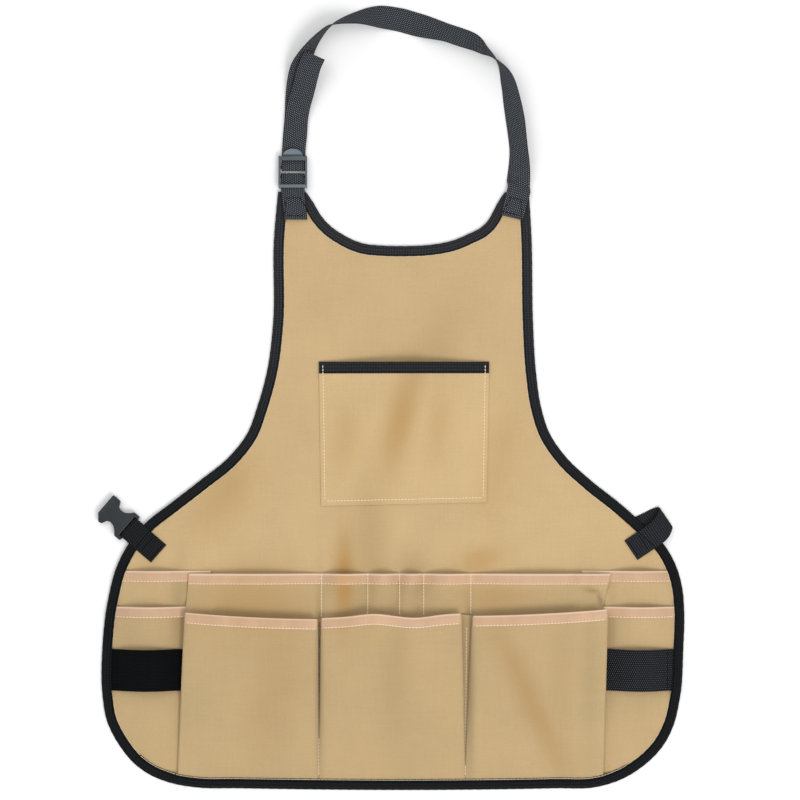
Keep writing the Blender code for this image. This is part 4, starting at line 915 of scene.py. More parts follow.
def make_body_panel():
    """The canvas body inside its binding."""
    size = sizes()
    inset = 0.003
    outline = np.concatenate(
        [
            SKIRT_LINE + inward_normals(SKIRT_LINE) * inset,
            NECK_LINE + inward_normals(NECK_LINE) * inset,
        ]
    )
    columns = np.linspace(-SKIRT_WIDTH / 2, SKIRT_WIDTH / 2, round(SKIRT_WIDTH / size.cell))
    rows = np.linspace(0.0, BODY_LENGTH, round(BODY_LENGTH / size.cell))
    x, y = np.meshgrid(SKIRT_X + columns, HEM_Y + rows)
    flat = np.stack([x.ravel(), y.ravel()], axis=1)
    fade = ease(distance_to_edge(flat) / HUMP_EDGE_FADE).reshape(x.shape)
    z = PANEL_FLOOR + edge_lift(x, y) + hump_height(x, y) * fade
    z += fade * (fold_height("body", x, y) + 0.0005 * ripples(x, y, 0.045, 3.0))
    low = np.stack([x, y, z], axis=-1)
    bm = sheet(low, thickened(low, size.canvas))
    centres = np.array([face.calc_center_median() for face in bm.faces])[:, :2]
    kept = inside(centres, outline)
    walls = [abs(face.normal.z) < 0.5 for face in bm.faces]
    doomed = [
        face for face, keep, wall in zip(bm.faces, kept, walls) if not keep or wall
    ]
    bmesh.ops.delete(bm, geom=doomed, context="FACES")
    rim = [edge for edge in bm.edges if edge.is_boundary]
    bmesh.ops.bridge_loops(bm, edges=rim)
    area = shoelace(outline)
    look = canvas_look("canvas_body", CANVAS_BRIGHTNESS["body"])
    made = finish("canvas_body", bm, look, "canvas", ["body_panel"])
    paint_patches(made)
    SEAMS["body"] = (made, area)


def shoelace(outline):
    """The area inside a closed outline."""
    x, y = outline[:, 0], outline[:, 1]
    return 0.5 * abs(float(x @ np.roll(y, -1) - y @ np.roll(x, -1)))


def row_left():
    return SKIRT_X + LOWER_ROW_ASIDE - LOWER_ROW_WIDTH / 2


def lower_row_edge(side, y):
    """The lower row's outer folded edge at the height y, on the left or right side."""
    down = (HEM_Y + LOWER_ROW_MOUTH - y) / LOWER_ROW_MOUTH
    pocket = LOWER_POCKETS[0] if side < 0 else LOWER_POCKETS[-1]
    mouth, hem = (pocket[0], pocket[2]) if side < 0 else (pocket[1], pocket[3])
    return row_left() + LOWER_ROW_WIDTH * lerp(mouth, hem, down)


def make_side_pocket(side, word, layer, mouth_up, bottom_up):
    """A side pocket, sewn into the binding at its outer edge and under the rows at its inner
    one. side is -1 for the left of the view and +1 for the right."""
    size = sizes()
    edge_inset = BINDING_WIDTH * 0.4
    inner_x = lower_row_edge(side, HEM_Y + LOWER_ROW_MOUTH) - side * SIDE_POCKET_UNDERLAP
    top_y, bottom_y = HEM_Y + mouth_up, HEM_Y + bottom_up
    depth = top_y - bottom_y
    tape_share = TAPE_WIDTH / depth
    width = abs(side_x(edge_inset, top_y, side) - inner_x)

    def place(u, v):
        y = lerp(top_y, bottom_y, v)
        return lerp(side_x(edge_inset, y, side), inner_x, u), y

    def lift(u, v):
        x, y = place(u, v)
        outer = side_x(edge_inset, y, side) - side * BINDING_WIDTH * 0.65
        inner = lower_row_edge(side, y) + side * 0.003
        share = (x - outer) / (inner - outer)
        drop = (1.0 - below_tape(v, tape_share)) ** 1.4
        return float(SIDE_POCKET_PUFF * bulge(share) * drop)

    shares = depth_shares(depth, TAPE_WIDTH)
    columns = shares_between(0.0, 1.0, width, size.cell)
    low = laid_cloth(place, lift, shares, columns, tape_share)
    low[..., 2] += 0.0003 * ripples(low[..., 0], low[..., 1], 0.03, 7.0 + side)
    which = f"{word}_{layer}"
    SEAMS[which] = low
    tape = (f"tape_{which}_pocket", f"{which}_side_tape", tape_look(), "satin_tape")
    cloth = (f"canvas_{which}_pocket", f"{which}_side_pocket")
    lay_pocket(*cloth, low, CANVAS_BRIGHTNESS[layer], (width, depth), tape)


def make_side_pockets():
    for layer, mouth, bottom in (
        ("back", BACK_SIDE_MOUTH, BACK_SIDE_MOUTH - BACK_SIDE_DEPTH),
        ("front", FRONT_SIDE_MOUTH, BINDING_WIDTH * 0.6),
    ):
        for side, word in SIDES:
            make_side_pocket(side, word, layer, mouth, bottom)


def make_upper_row():
    """One cloth sewn down along its seams, so each compartment swells on its own."""
    left = SKIRT_X + UPPER_ROW_ASIDE - UPPER_ROW_WIDTH / 2
    top_y = HEM_Y + UPPER_ROW_MOUTH
    tape_share = TAPE_WIDTH / UPPER_ROW_DEPTH
    columns = []
    for start, stop in zip(UPPER_ROW_SEAMS, UPPER_ROW_SEAMS[1:]):
        columns += shares_between(start, stop, UPPER_ROW_WIDTH, sizes().cell)[:-1]
    columns.append(1.0)

    def place(u, v):
        narrowing = UPPER_ROW_NARROWING * v * UPPER_ROW_DEPTH / UPPER_ROW_NARROW_DEPTH
        x = left + u * UPPER_ROW_WIDTH - min(narrowing, UPPER_ROW_NARROWING) * (0.3 + 0.4 * u)
        return x, top_y - v * UPPER_ROW_DEPTH

    def lift(u, v):
        height = UPPER_ROW_PUFF * (1.0 - below_tape(v, tape_share)) ** 1.5
        for start, stop in zip(UPPER_ROW_SEAMS, UPPER_ROW_SEAMS[1:]):
            if start <= u <= stop:
                return float(height * bulge((u - start) / (stop - start), 1.2))
        return 0.0

    shares = depth_shares(UPPER_ROW_DEPTH, TAPE_WIDTH)
    low = laid_cloth(place, lift, shares, columns, tape_share)
    sewn = np.array([min(abs(u - seam) for seam in UPPER_ROW_SEAMS) for u in columns])
    loose = ease(sewn * UPPER_ROW_WIDTH / 0.008)[None, :]
    x, y = low[..., 0], low[..., 1]
    low[..., 2] += loose * np.maximum(fold_height("upper", x, y), -0.002)
    low[..., 2] += loose * 0.0004 * ripples(x, y, 0.03, 12.0)
    SEAMS["upper"] = (low, columns)
    cloth = ("canvas_upper_row", "upper_pocket_row")
    tape = ("tape_upper_row", "upper_row_tape", tape_look(), "satin_tape")
    flat = (UPPER_ROW_WIDTH, UPPER_ROW_DEPTH)
    lay_pocket(*cloth, low, CANVAS_BRIGHTNESS["upper"], flat, tape)


def ribbon(stations, width):
    """Flat webbing with rounded edges through (middle point, direction across) stations."""
    half, thin = width / 2, sizes().webbing / 2
    soft = thin * 0.7
    section = (
        (-half + soft, -thin),
        (-half / 3, -thin),
        (half / 3, -thin),
        (half - soft, -thin),
        (half, -thin / 2),
        (half, thin / 2),
        (half - soft, thin),
        (half / 3, thin),
        (-half / 3, thin),
        (-half + soft, thin),
        (-half, thin / 2),
        (-half, -thin / 2),
    )
    rings = []
    for i, (centre, across) in enumerate(stations):
        before = stations[max(i - 1, 0)][0]
        after = stations[min(i + 1, len(stations) - 1)][0]
        up = (after - before).cross(across).normalized()
        rings.append([tuple(centre + across * a + up * b) for a, b in section])
    return skin(rings, [a for a, _ in section])


def lay_webbing(node, stations, width=STRAP_WIDTH):
    """Webbing along its stations, in its own weave."""
    look = webbing_look(*WEAVES[node])
    finish(f"webbing_{node}", ribbon(stations, width), look, "webbing", [node])


def make_tool_loops():
    """The wide webbing sewn across each side, open at its top and bottom for a tool."""
    size = sizes()
    centre_y = HEM_Y + TOOL_LOOP_HEIGHT
    for side, word in SIDES:
        soft = LAY.draped()
        outer = side_x(BINDING_WIDTH * 0.45, centre_y, side)
        inner = lower_row_edge(side, centre_y) - side * TOOL_LOOP_UNDERLAP
        columns = np.linspace(0.0, 1.0, 40)
        stations = []
        for u in columns:
            x = lerp(outer, inner, u)
            ys = centre_y + TOOL_LOOP_WIDTH * np.linspace(-0.5, 0.5, 12)
            level = float(read(soft, np.full(12, x), ys).max())
            z = level + size.gap + size.webbing / 2
            z += TOOL_LOOP_PUFF * float(bulge((u - 0.08) / 0.79, 1.2))
            stations.append((Vector((x, centre_y, z)), Vector((0.0, side * 1.0, 0.0))))
        lay_webbing(f"{word}_tool_loop", stations, TOOL_LOOP_WIDTH)


def miter_offsets(section):
    """For each point of an (x, z) section, the offset that keeps a unit wall on its left."""
    offsets = []
    for i in range(len(section)):
        normals = []
        for a, b in ((i - 1, i), (i, i + 1)):
            if a >= 0 and b < len(section):
                run = (section[b] - section[a]).normalized()
                normals.append(Vector((-run.y, run.x)))
        middle = sum(normals, Vector((0.0, 0.0))).normalized()
        offsets.append(middle / max(middle.dot(normals[0]), 0.5))
    return offsets


def mouth_height(pocket, share):
    """How far the mouth lies above the row's mouth line, along a pocket from 0 to 1."""
    if pocket is None:
        return 0.0
    left, middle, right = pocket[4:]
    bend = left * (1 - share) * (1 - 2 * share) + right * share * (2 * share - 1)
    bend += 4 * middle * share * (1 - share)
    if pocket == LOWER_POCKETS[1]:
        for at, reach, height in MIDDLE_MOUTH_WAVES:
            bend += height * math.exp(-(((share - at) / reach) ** 2))
    return TAPE_WIDTH * bend


def pocket_edge_x(pocket, side, v):
    """The x of a lower pocket's left or right fold, side 0 or 1, this share down."""
    return row_left() + LOWER_ROW_WIDTH * lerp(pocket[side], pocket[side + 2], v)


def lower_row_y(x, v, above, sewn):
    """The y of the row's cloth this share down, with its mouth so far above the mouth line
    and its bottom so far above the hem's edge."""
    return lerp(HEM_Y + LOWER_ROW_MOUTH + above, hem_edge_y(x) + sewn, v)


def layer_rise():
    """One layer of the pleated cloth, with the room to the next one."""
    return sizes().canvas + sizes().gap * 1.5


def front_stand(v):
    """How far a pocket's front stands off its back, this share down."""
    down = below_tape(v, TAPE_WIDTH / LOWER_ROW_MOUTH)
    return float(lerp(LOWER_ROW_STAND, 2 * layer_rise(), (down + ease(down)) / 2))


def pleat_reach(v):
    """How far a pleat lies under its pocket, this share down."""
    return math.sqrt(PLEAT_DEPTH**2 - (front_stand(v) - 2 * layer_rise()) ** 2)


def pleat_strips(shares, soft):
    """The cloth that lies on the apron beside and between the pockets: at each share down,
    the x of its two ends and the height of its middle."""
    strips = []
    for k in range(len(LOWER_POCKETS) + 1):
        before = LOWER_POCKETS[k - 1] if k > 0 else None
        after = LOWER_POCKETS[k] if k < len(LOWER_POCKETS) else None
        up = mouth_height(before, 1.0) if before else mouth_height(after, 0.0)
        strip = []
        for v in shares:
            if before:
                low_x = pocket_edge_x(before, 1, v) - pleat_reach(v)
            else:
                low_x = pocket_edge_x(after, 0, v) + PLEAT_END
            if after:
                high_x = pocket_edge_x(after, 0, v) + pleat_reach(v)
            else:
                high_x = pocket_edge_x(before, 1, v) - PLEAT_END
            y = lower_row_y(low_x, v, up, PLEAT_SEWN)
            level = float(read(soft, np.linspace(low_x, high_x, 6), np.full(6, y)).max())
            strip.append((low_x, high_x, level + sizes().gap + sizes().canvas / 2))
        strips.append(strip)
    return strips


def pocket_front(k, pocket, strips, shares, soft):
    """The standing front of a lower pocket, as a grid of points from its mouth down."""
    size = sizes()
    columns = [0.0, 0.012] + shares_between(0.03, 0.97, 0.145, size.cell) + [0.988, 1.0]
    tape_share = TAPE_WIDTH / LOWER_ROW_MOUTH
    grid = np.zeros((len(shares), len(columns), 3))
    for j, v in enumerate(shares):
        for i, u in enumerate(columns):
            x = lerp(pocket_edge_x(pocket, 0, v), pocket_edge_x(pocket, 1, v), u)
            base = lerp(strips[k][j][2], strips[k + 1][j][2], u)
            puff = LOWER_ROW_PUFF * (1.0 - below_tape(v, tape_share))
            z = base + front_stand(v) + puff * float(bulge(u, 0.75))
            grid[j, i] = (x, lower_row_y(x, v, mouth_height(pocket, u), FRONT_SEWN), z)
    floor = read(soft, grid[..., 0], grid[..., 1]) + size.gap + size.canvas / 2
    columns = np.array(columns)
    held = ease(np.minimum(columns, 1 - columns) / 0.08)
    low_down = (1.0 - np.array(shares))[:, None] ** 0.5
    relief = fold_height("lower", grid[..., 0], grid[..., 1])
    relief += 0.0006 * ripples(grid[..., 0], grid[..., 1], 0.05, 20.0 + k)
    grid[..., 2] = np.maximum(grid[..., 2] + relief * held[None, :] * low_down, floor)
    grid[:4, :, 2] = grid[:4, :, 2].max(axis=0)
    return grid


def lower_row_section(j, v, strips, fronts):
    """The middle of the cloth across the whole row, as (x, z) points with their y."""
    layer = layer_rise()
    section, ys = [], []

    def add(x, z, above):
        section.append(Vector((x, z)))
        ys.append(lower_row_y(x, v, above, PLEAT_SEWN))

    for k, pocket in enumerate(LOWER_POCKETS):
        up_left, up_right = mouth_height(pocket, 0.0), mouth_height(pocket, 1.0)
        first, last, base = strips[k][j]
        front = fronts[k][j]
        if k == 0:
            add(first, base, up_left)
        add(last, base, up_left)
        add(last + layer / 2, base + layer / 2, up_left)
        add(last, base + layer, up_left)
        add(front[0][0], front[0][2] - layer, up_left)
        add(front[0][0] - layer / 2, front[0][2] - layer / 2, up_left)
        for x, y, z in front:
            section.append(Vector((x, z)))
            ys.append(y)
        first, last, base = strips[k + 1][j]
        add(front[-1][0] + layer / 2, front[-1][2] - layer / 2, up_right)
        add(front[-1][0], front[-1][2] - layer, up_right)
        add(first, base + layer, up_right)
        add(first - layer / 2, base + layer / 2, up_right)
        add(first, base, up_right)
    add(last, base, up_right)
    return section, ys


def make_lower_row():
    """One cloth for three pockets: its fronts stand off the apron on pleated sides, and are
    sewn flat at the hem."""
    half = sizes().canvas / 2
    shares = depth_shares(LOWER_ROW_MOUTH, TAPE_WIDTH)
    soft = LAY.draped()
    strips = pleat_strips(shares, soft)
    fronts = [
        pocket_front(k, pocket, strips, shares, soft) for k, pocket in enumerate(LOWER_POCKETS)
    ]
    low, high = [], []
    for j, v in enumerate(shares):
        section, ys = lower_row_section(j, v, strips, fronts)
        offsets = miter_offsets(section)
        for rows, side in ((low, -half), (high, half)):
            moved = [point + offset * side for point, offset in zip(section, offsets)]
            rows.append([(p.x, y, p.y) for p, y in zip(moved, ys)])
    made = finish(
        "canvas_lower_row",
        sheet(np.array(low), np.array(high)),
        canvas_look("canvas_lower_row", CANVAS_BRIGHTNESS["lower"]),
        "canvas",
        ["lower_pocket_row"],
    )
    paint_patches(made)
    for grid, word in zip(fronts, ("left", "middle", "right")):
        under = grid.copy()
        under[..., 2] -= half
        name, node = f"tape_lower_{word}", f"lower_row_tape_{word}"
        mouth_tape(name, under[0], under[3], tape_look(), [node])
    SEAMS["lower"] = (fronts, strips, shares)


def make_chest_pocket():
    """The pocket on the bib, a little narrower at its bottom, with a bound mouth."""
    centre = SKIRT_X + CHEST_POCKET_ASIDE
    top_y = HEM_Y + CHEST_POCKET_MOUTH
    tape_share = CHEST_BINDING_WIDTH / CHEST_POCKET_HEIGHT

    def place(u, v):
        half = CHEST_POCKET_WIDTH / 2 * (1.0 - CHEST_POCKET_TAPER * v)
        y = top_y - v * CHEST_POCKET_HEIGHT + CHEST_POCKET_SKEW * v * (u - 0.5)
        return centre + (2 * u - 1) * half, y

    def lift(u, v):
        drop = (1.0 - below_tape(v, tape_share)) ** 1.3
        return float(CHEST_POCKET_PUFF * bulge(u) * drop)

    shares = depth_shares(CHEST_POCKET_HEIGHT, CHEST_BINDING_WIDTH)
    columns = shares_between(0.0, 1.0, CHEST_POCKET_WIDTH, sizes().cell)
    low = laid_cloth(place, lift, shares, columns, tape_share)
    held = bulge(np.array(columns), 0.5)[None, :] * (1 - np.array(shares))[:, None] ** 0.5
    x, y = low[..., 0], low[..., 1]
    relief = fold_height("chest", x, y) + 0.0006 * ripples(x, y, 0.04, 31.0)
    low[4:, :, 2] += (relief * held)[4:]
    SEAMS["chest"] = (low, place)
    tape = ("binding_chest_pocket", "chest_pocket_binding", binding_look(), "binding")
    flat = (CHEST_POCKET_WIDTH, CHEST_POCKET_HEIGHT)
    lay_pocket(
        "canvas_chest_pocket", "chest_pocket", low, CANVAS_BRIGHTNESS["chest"], flat, tape
    )


def line_stretch(line, first_share, last_share, step):
    """Points of a line between two shares of its length, with their inward normals."""
    run = run_along(line)
    marks = np.arange(first_share * run[-1], last_share * run[-1], step)
    marks = np.append(marks, last_share * run[-1])
    normals = inward_normals(line)
    points = [np.interp(marks, run, line[:, axis]) for axis in (0, 1)]
    facing = [np.interp(marks, run, normals[:, axis]) for axis in (0, 1)]
    return np.stack(points, axis=1), np.stack(facing, axis=1)


def binding_tops(points, normals, width, floor):
    """How high the pile lies under the binding's upper layer, at five shares of its width."""
    soft = LAY.draped(10)
    tops = {}
    for share in (0.0, 0.25, 0.5, 0.75, 1.0):
        spot = points + normals * width * share
        exact = [LAY.top(x, y) for x, y in spot.tolist()]
        pile = np.maximum(read(soft, spot[:, 0], spot[:, 1]), exact)
        z = np.maximum(pile, floor) + sizes().gap
        padded = np.pad(z, 2, mode="edge")
        tops[share] = np.maximum(z, sum(padded[i : i + len(z)] for i in range(5)) / 5)
    return tops


def binding_section(width, under, top, pucker):
    """The folded binding as (inwards, height) points: its lower face, round the outer edge,
    its upper face, and back along the inside of the fold."""
    wall = sizes().binding
    outer = top[0.0] + wall
    tall = outer - under
    return (
        (width, under),
        (width / 2, under),
        (0.0011, under),
        (0.0003, under + 0.25 * tall),
        (0.0, under + 0.5 * tall),
        (0.0003, under + 0.78 * tall),
        (0.0011, outer),
        (width * 0.25, top[0.25] + wall * 1.1),
        (width * 0.5, top[0.5] + wall * 1.2 + pucker),
        (width * 0.75, top[0.75] + wall * 1.05 + pucker),
        (width * 0.93, top[1.0] + wall),
        (width, top[1.0] + wall * 0.6),
        (width, top[1.0]),
        (width / 2, top[0.5]),
        (0.0016, top[0.0] - 0.0001),
        (0.0016, under + wall + 0.0001),
        (width / 2, under + wall),
        (width, under + wall),
    )


def make_binding(name, line, first_share, last_share, look, replaced, extra=0.0):
    """The binding folded over the edge along one stretch of it."""
    points, normals = line_stretch(line, first_share, last_share, 0.0025)
    width = BINDING_WIDTH + extra
    base = edge_lift(points[:, 0], points[:, 1])
    tops = binding_tops(points, normals, width, PANEL_FLOOR + sizes().canvas + base)
    rings = []
    for i, (point, normal) in enumerate(zip(points, normals)):
        top = {share: float(z[i]) for share, z in tops.items()}
        pucker = BINDING_PUCKER * math.sin(i * 1.7)
        section = binding_section(width, float(base[i]), top, pucker)
        rings.append(
            [(*(point + normal * (inwards + pucker)), z) for inwards, z in section]
        )
    across = run_along(np.array(section))
    return finish(name, skin(rings, across), look, "binding", replaced)


def make_bindings():
    first, second = BINDING_JOINS
    look = binding_look()
    stretches = (
        ("binding_left_side", SKIRT_LINE, 0.0, first, "left_side_binding"),
        ("binding_hem", SKIRT_LINE, first, second, "hem_binding"),
        ("binding_right_side", SKIRT_LINE, second, 1.0, "right_side_binding"),
        ("binding_neck", NECK_LINE, 0.0, 1.0, "neck_binding"),
    )
    made = [
        make_binding(
            name, line, start, stop, look, [node], HEM_BINDING_EXTRA * (node == "hem_binding")
        )
        for name, line, start, stop, node in stretches
    ]


def strap_point(across, up):
    left = share_point(STRAP_LEFT, 1.0).x
    return Vector((left + across * STRAP_SPAN, SHOULDER_Y + up * STRAP_RISE, 0.0))


def rolled_across(along, roll):
    """The direction across a strap that leans on its inner edge by the roll."""
    flat = Vector((along.y, -along.x, 0.0)).normalized()
    angle = math.radians(roll)
    return flat * math.cos(angle) - Vector((0.0, 0.0, math.sin(angle)))


def strap_stations(table, rest, step=0.0035):
    """Stations of a strap along its route; rest(point, across) gives the middle's height."""
    scaled = [
        (across * STRAP_SPAN, up * STRAP_RISE, roll / ROLL_SCALE) for across, up, roll in table
    ]
    fine = curve_through(scaled, step)
    left = strap_point(0.0, 0.0)
    points = [Vector((left.x + p.x, SHOULDER_Y + p.y, 0.0)) for p in fine]
    stations = []
    for i, point in enumerate(points):
        along = points[min(i + 1, len(points) - 1)] - points[max(i - 1, 0)]
        across = rolled_across(along, fine[i].z * ROLL_SCALE)
        stations.append((point + Vector((0.0, 0.0, rest(point, across))), across))
    return stations


def rest_on_floor(point, across):
    flat = math.hypot(across.x, across.y)
    return abs(across.z) * STRAP_WIDTH / 2 + flat * sizes().webbing / 2


def half_turn(centre, outwards, radius, across, steps=10):
    """Stations round a bar, from above it to below it, on its side that faces outwards."""
    stations = []
    for k in range(steps + 1):
        angle = math.pi / 2 - math.pi * k / steps
        around = outwards * math.cos(angle) + Vector((0.0, 0.0, math.sin(angle)))
        stations.append((centre + around * radius, across))
    return stations


def eased_stations(stations, step=0.003):
    """The stations of a strap with more between them, on a smooth line."""
    line, acrosses = [], []
    centres = [station[0] for station in stations]
    spans = [(b - a).length for a, b in zip(centres, centres[1:])]
    for i, span in enumerate(spans):
        before = centres[max(i - 1, 0)]
        after = centres[min(i + 2, len(centres) - 1)]
        start, stop = centres[i], centres[i + 1]
        first = (stop - before).normalized() * span
        last = (after - start).normalized() * span
        pieces = max(1, round(span / step))
        for k in range(pieces):
            t = k / pieces
            line.append(hermite(start, first, stop, last, t))
            acrosses.append(stations[i][1].lerp(stations[i + 1][1], t).normalized())
    line.append(centres[-1])
    acrosses.append(stations[-1][1])
    return list(zip(line, acrosses))


# Heights of the ladder-lock buckle's bars, and of the tab's webbing on the shoulder.
BAR_MIDDLE = SOLID_WEBBING + LADDER_LIFT + LADDER_BAR / 2
WRAP_RADIUS = LADDER_BAR / 2 + SOLID_GAP + SOLID_WEBBING / 2
TAB_LOWER = PANEL_FLOOR + 2 * (SOLID_CLOTH + SOLID_GAP) + SOLID_WEBBING / 2
TAB_UPPER = TAB_LOWER + SOLID_WEBBING + SOLID_GAP
TAIL_CLEARANCE = 0.0006
# How far the strap's sewn end moves aside for its length, and where it climbs and lies flat.
STRAP_LEAN = 0.25
STRAP_CLIMB = 0.0075
STRAP_FLAT = -0.0028


def ladder_y(share):
    """A height along the ladder-lock buckle, from its bottom rail at 0 to its top at 1."""
    return SHOULDER_Y + LADDER_UP + share * LADDER_LENGTH


STRAP_BAR_Y = ladder_y(0.665)
LOOP_BAR_Y = ladder_y(0.37)


def down_to_shoulder(load):
    """The strap's stations, with its end brought down to where it is sewn on."""
    size = sizes()
    last = load[-1][0]
    over = []
    for down in (0.0015, 0.010, 0.027):
        for side in (-1, -0.5, 0, 0.5, 1):
            x = last.x - STRAP_LEAN * down + side * STRAP_WIDTH / 2
            over.append(LAY.around(x, SHOULDER_Y - down, 0.003))
    level = max(over) + size.gap + size.webbing / 2
    flat_across = Vector((-1.0, STRAP_LEAN, 0.0)).normalized()
    climb = lerp(load[-1][0].z, level, 0.8)
    end = [load[-1], (Vector((last.x, SHOULDER_Y + STRAP_CLIMB, climb)), flat_across)]
    for down in (STRAP_FLAT, 0.012, SHOULDER_TAB_LENGTH * 0.93):
        end.append((Vector((last.x - STRAP_LEAN * down, SHOULDER_Y - down, level)), flat_across))
    return load[:-1] + eased_stations(end)


def free_tail(load):
    """Stations of the strap's free tail, which lies on the strap."""
    beneath = ribbon(load, STRAP_WIDTH)
    lying = BVHTree.FromBMesh(beneath)
    beneath.free()

    def rest_on_strap(point, across):
        height = 0.0
        for share in np.linspace(-1.0, 1.0, 9):
            spot = point + across * (share * STRAP_WIDTH / 2)
            hit = lying.ray_cast(Vector((spot.x, spot.y, 1.0)), Vector((0.0, 0.0, -1.0)))[0]
            needed = (hit.z if hit is not None else 0.0) + TAIL_CLEARANCE
            height = max(height, needed - spot.z)
        return height + sizes().webbing / 2

    tail = strap_stations(TAIL_ROUTE, rest_on_strap)
    heights = np.array([station[0].z for station in tail])
    padded = np.pad(heights, 3, mode="edge")
    eased = [float(padded[i : i + 7].max()) for i in range(len(heights))]
    return [(Vector((centre.x, centre.y, z)), -lean) for (centre, lean), z in zip(tail, eased)]


def make_neck_strap():
    """From its free tail down through the buckle, round its bar, up and over to the
    wearer's left shoulder, where it is sewn on."""
    load = strap_stations(STRAP_ROUTE, rest_on_floor)
    SEAMS["strap_x"] = load[-1][0].x
    load = down_to_shoulder(load)
    tail = free_tail(load)
    across = Vector((1.0, 0.0, 0.0))
    x, tail_z = load[0][0].x, tail[-1][0].z
    climb = lerp(tail_z, BAR_MIDDLE + WRAP_RADIUS, 0.6)
    down_in = [
        tail[-1],
        (Vector((x, ladder_y(0.93), tail_z)), across),
        (Vector((x, ladder_y(0.80), climb)), across),
        (Vector((x, STRAP_BAR_Y + 0.0012, BAR_MIDDLE + WRAP_RADIUS)), across),
    ]
    bar = Vector((x, STRAP_BAR_Y - 0.002, BAR_MIDDLE))
    turn = half_turn(bar, Vector((0.0, -1.0, 0.0)), WRAP_RADIUS, across)
    lay_webbing("neck_strap", tail[:-1] + eased_stations(down_in) + turn + load)


def make_shoulder_tab():
    """The webbing sewn to the wearer's right shoulder in two layers, with its fold round the
    buckle's loop bar."""
    across = Vector((1.0, 0.0, 0.0))
    top_x = strap_point(0.0, 0.0).x - 0.0005
    end_x = top_x + 0.003
    length = SHOULDER_TAB_LENGTH
    bar = Vector((top_x, LOOP_BAR_Y + 0.001, BAR_MIDDLE))
    turn = half_turn(bar, Vector((0.0, 1.0, 0.0)), WRAP_RADIUS, across)

    def at(down, z):
        x = lerp(top_x, end_x, max(down, 0.0) / length)
        return (Vector((x, SHOULDER_Y - down, z)), across)

    front = [at(length, TAB_UPPER), at(0.012, TAB_UPPER), at(-0.0075, TAB_UPPER)]
    back = [at(-0.0125, BAR_MIDDLE - WRAP_RADIUS), at(-0.0025, TAB_LOWER)]
    back += [at(0.012, TAB_LOWER), at(length - 0.003, TAB_LOWER)]
    stations = eased_stations(front + turn[:1])[:-1] + turn + eased_stations(turn[-1:] + back)[1:]
    lay_webbing("shoulder_tab", stations)
    SEAMS["tab_x"] = (top_x, end_x)


def turned(angle):
    radians = math.radians(angle)
    return Vector((math.cos(radians), math.sin(radians), 0.0))


def webbing_level(start, along, across, distance):
    """The height of the middle of webbing that lies on the pile this far along."""
    tops = []
    for share in (-1.0, -0.5, 0.0, 0.5, 1.0):
        spot = Vector((start.x, start.y, 0.0)) + along * distance
        spot += across * (share * STRAP_WIDTH / 2)
        tops.append(LAY.around(spot.x, spot.y, 0.0035))
    return max(tops) + sizes().gap + sizes().webbing / 2


def make_waist_tab():
    """Webbing that runs over the apron's edge, round the bar of the side-release buckle and
    back under the edge."""
    along = turned(WAIST_TAB_TURN)
    across = turned(WAIST_TAB_TURN - 90.0)
    start = share_point(*WAIST_TAB_START).to_3d()
    middle_z = WAIST_BUCKLE_HEIGHT / 2
    radius = BUCKLE_BAR / 2 + SOLID_GAP + SOLID_WEBBING / 2
    bar = start + along * WAIST_TAB_LENGTH + Vector((0.0, 0.0, middle_z))
    length = WAIST_TAB_LENGTH

    def at(distance, z):
        return (start + along * distance + Vector((0.0, 0.0, z)), across)

    lay = [0.0, 0.25, 0.5, 0.72]
    level = max(webbing_level(start, along, across, length * share) for share in lay)
    inner_level = webbing_level(start, along, across, 0.0)
    front = [at(0.0, inner_level), at(length * 0.25, lerp(inner_level, level, 0.7))]
    front += [at(length * 0.5, level), at(length * 0.78, level)]
    turn = half_turn(bar, along, radius, across)
    low = SOLID_WEBBING / 2
    back = [
        at(length * 0.84, lerp(middle_z - radius, low, 0.8)),
        at(length * 0.72, low),
        at(length * 0.30, low),
    ]
    stations = eased_stations(front + turn[:1])[:-1] + turn + eased_stations(turn[-1:] + back)[1:]
    lay_webbing("waist_tab", stations)
    SEAMS["waist_tab"] = (start, along, across)


def make_waist_loop():
    """The open webbing loop at the other side, sewn on top and under the edge."""
    along = turned(WAIST_LOOP_TURN)
    aside = turned(WAIST_LOOP_TURN + 90.0)
    across = turned(WAIST_LOOP_TURN - 90.0)
    start = share_point(*WAIST_LOOP_START).to_3d()

    def at(along_share, aside_share, z):
        spot = start + along * (along_share * WAIST_LOOP_LENGTH)
        spot += aside * (aside_share * STRAP_WIDTH)
        return (spot + Vector((0.0, 0.0, z)), across)

    inner_level = webbing_level(start, along, across, 0.0)
    level = max(
        webbing_level(start, along, across, WAIST_LOOP_LENGTH * share)
        for share in (0.25, 0.4, 0.5, 0.6)
    )
    stations = [at(0.0, 0.0, inner_level), at(0.22, 0.0, lerp(inner_level, level, 0.7))]
    stations += [at(0.40, 0.0, level), at(0.56, 0.0, lerp(level, WAIST_LOOP_RISE, 0.4))]
    low = SOLID_WEBBING / 2
    for along_share, aside_share, height in WAIST_LOOP_ROUTE:
        stations.append(at(along_share, aside_share, lerp(low, WAIST_LOOP_RISE, height)))
    for along_share, aside_share in WAIST_LOOP_RETURN:
        stations.append(at(along_share, aside_share, low))
    lay_webbing("waist_loop", eased_stations(stations))
    SEAMS["waist_loop"] = (start, along, across)


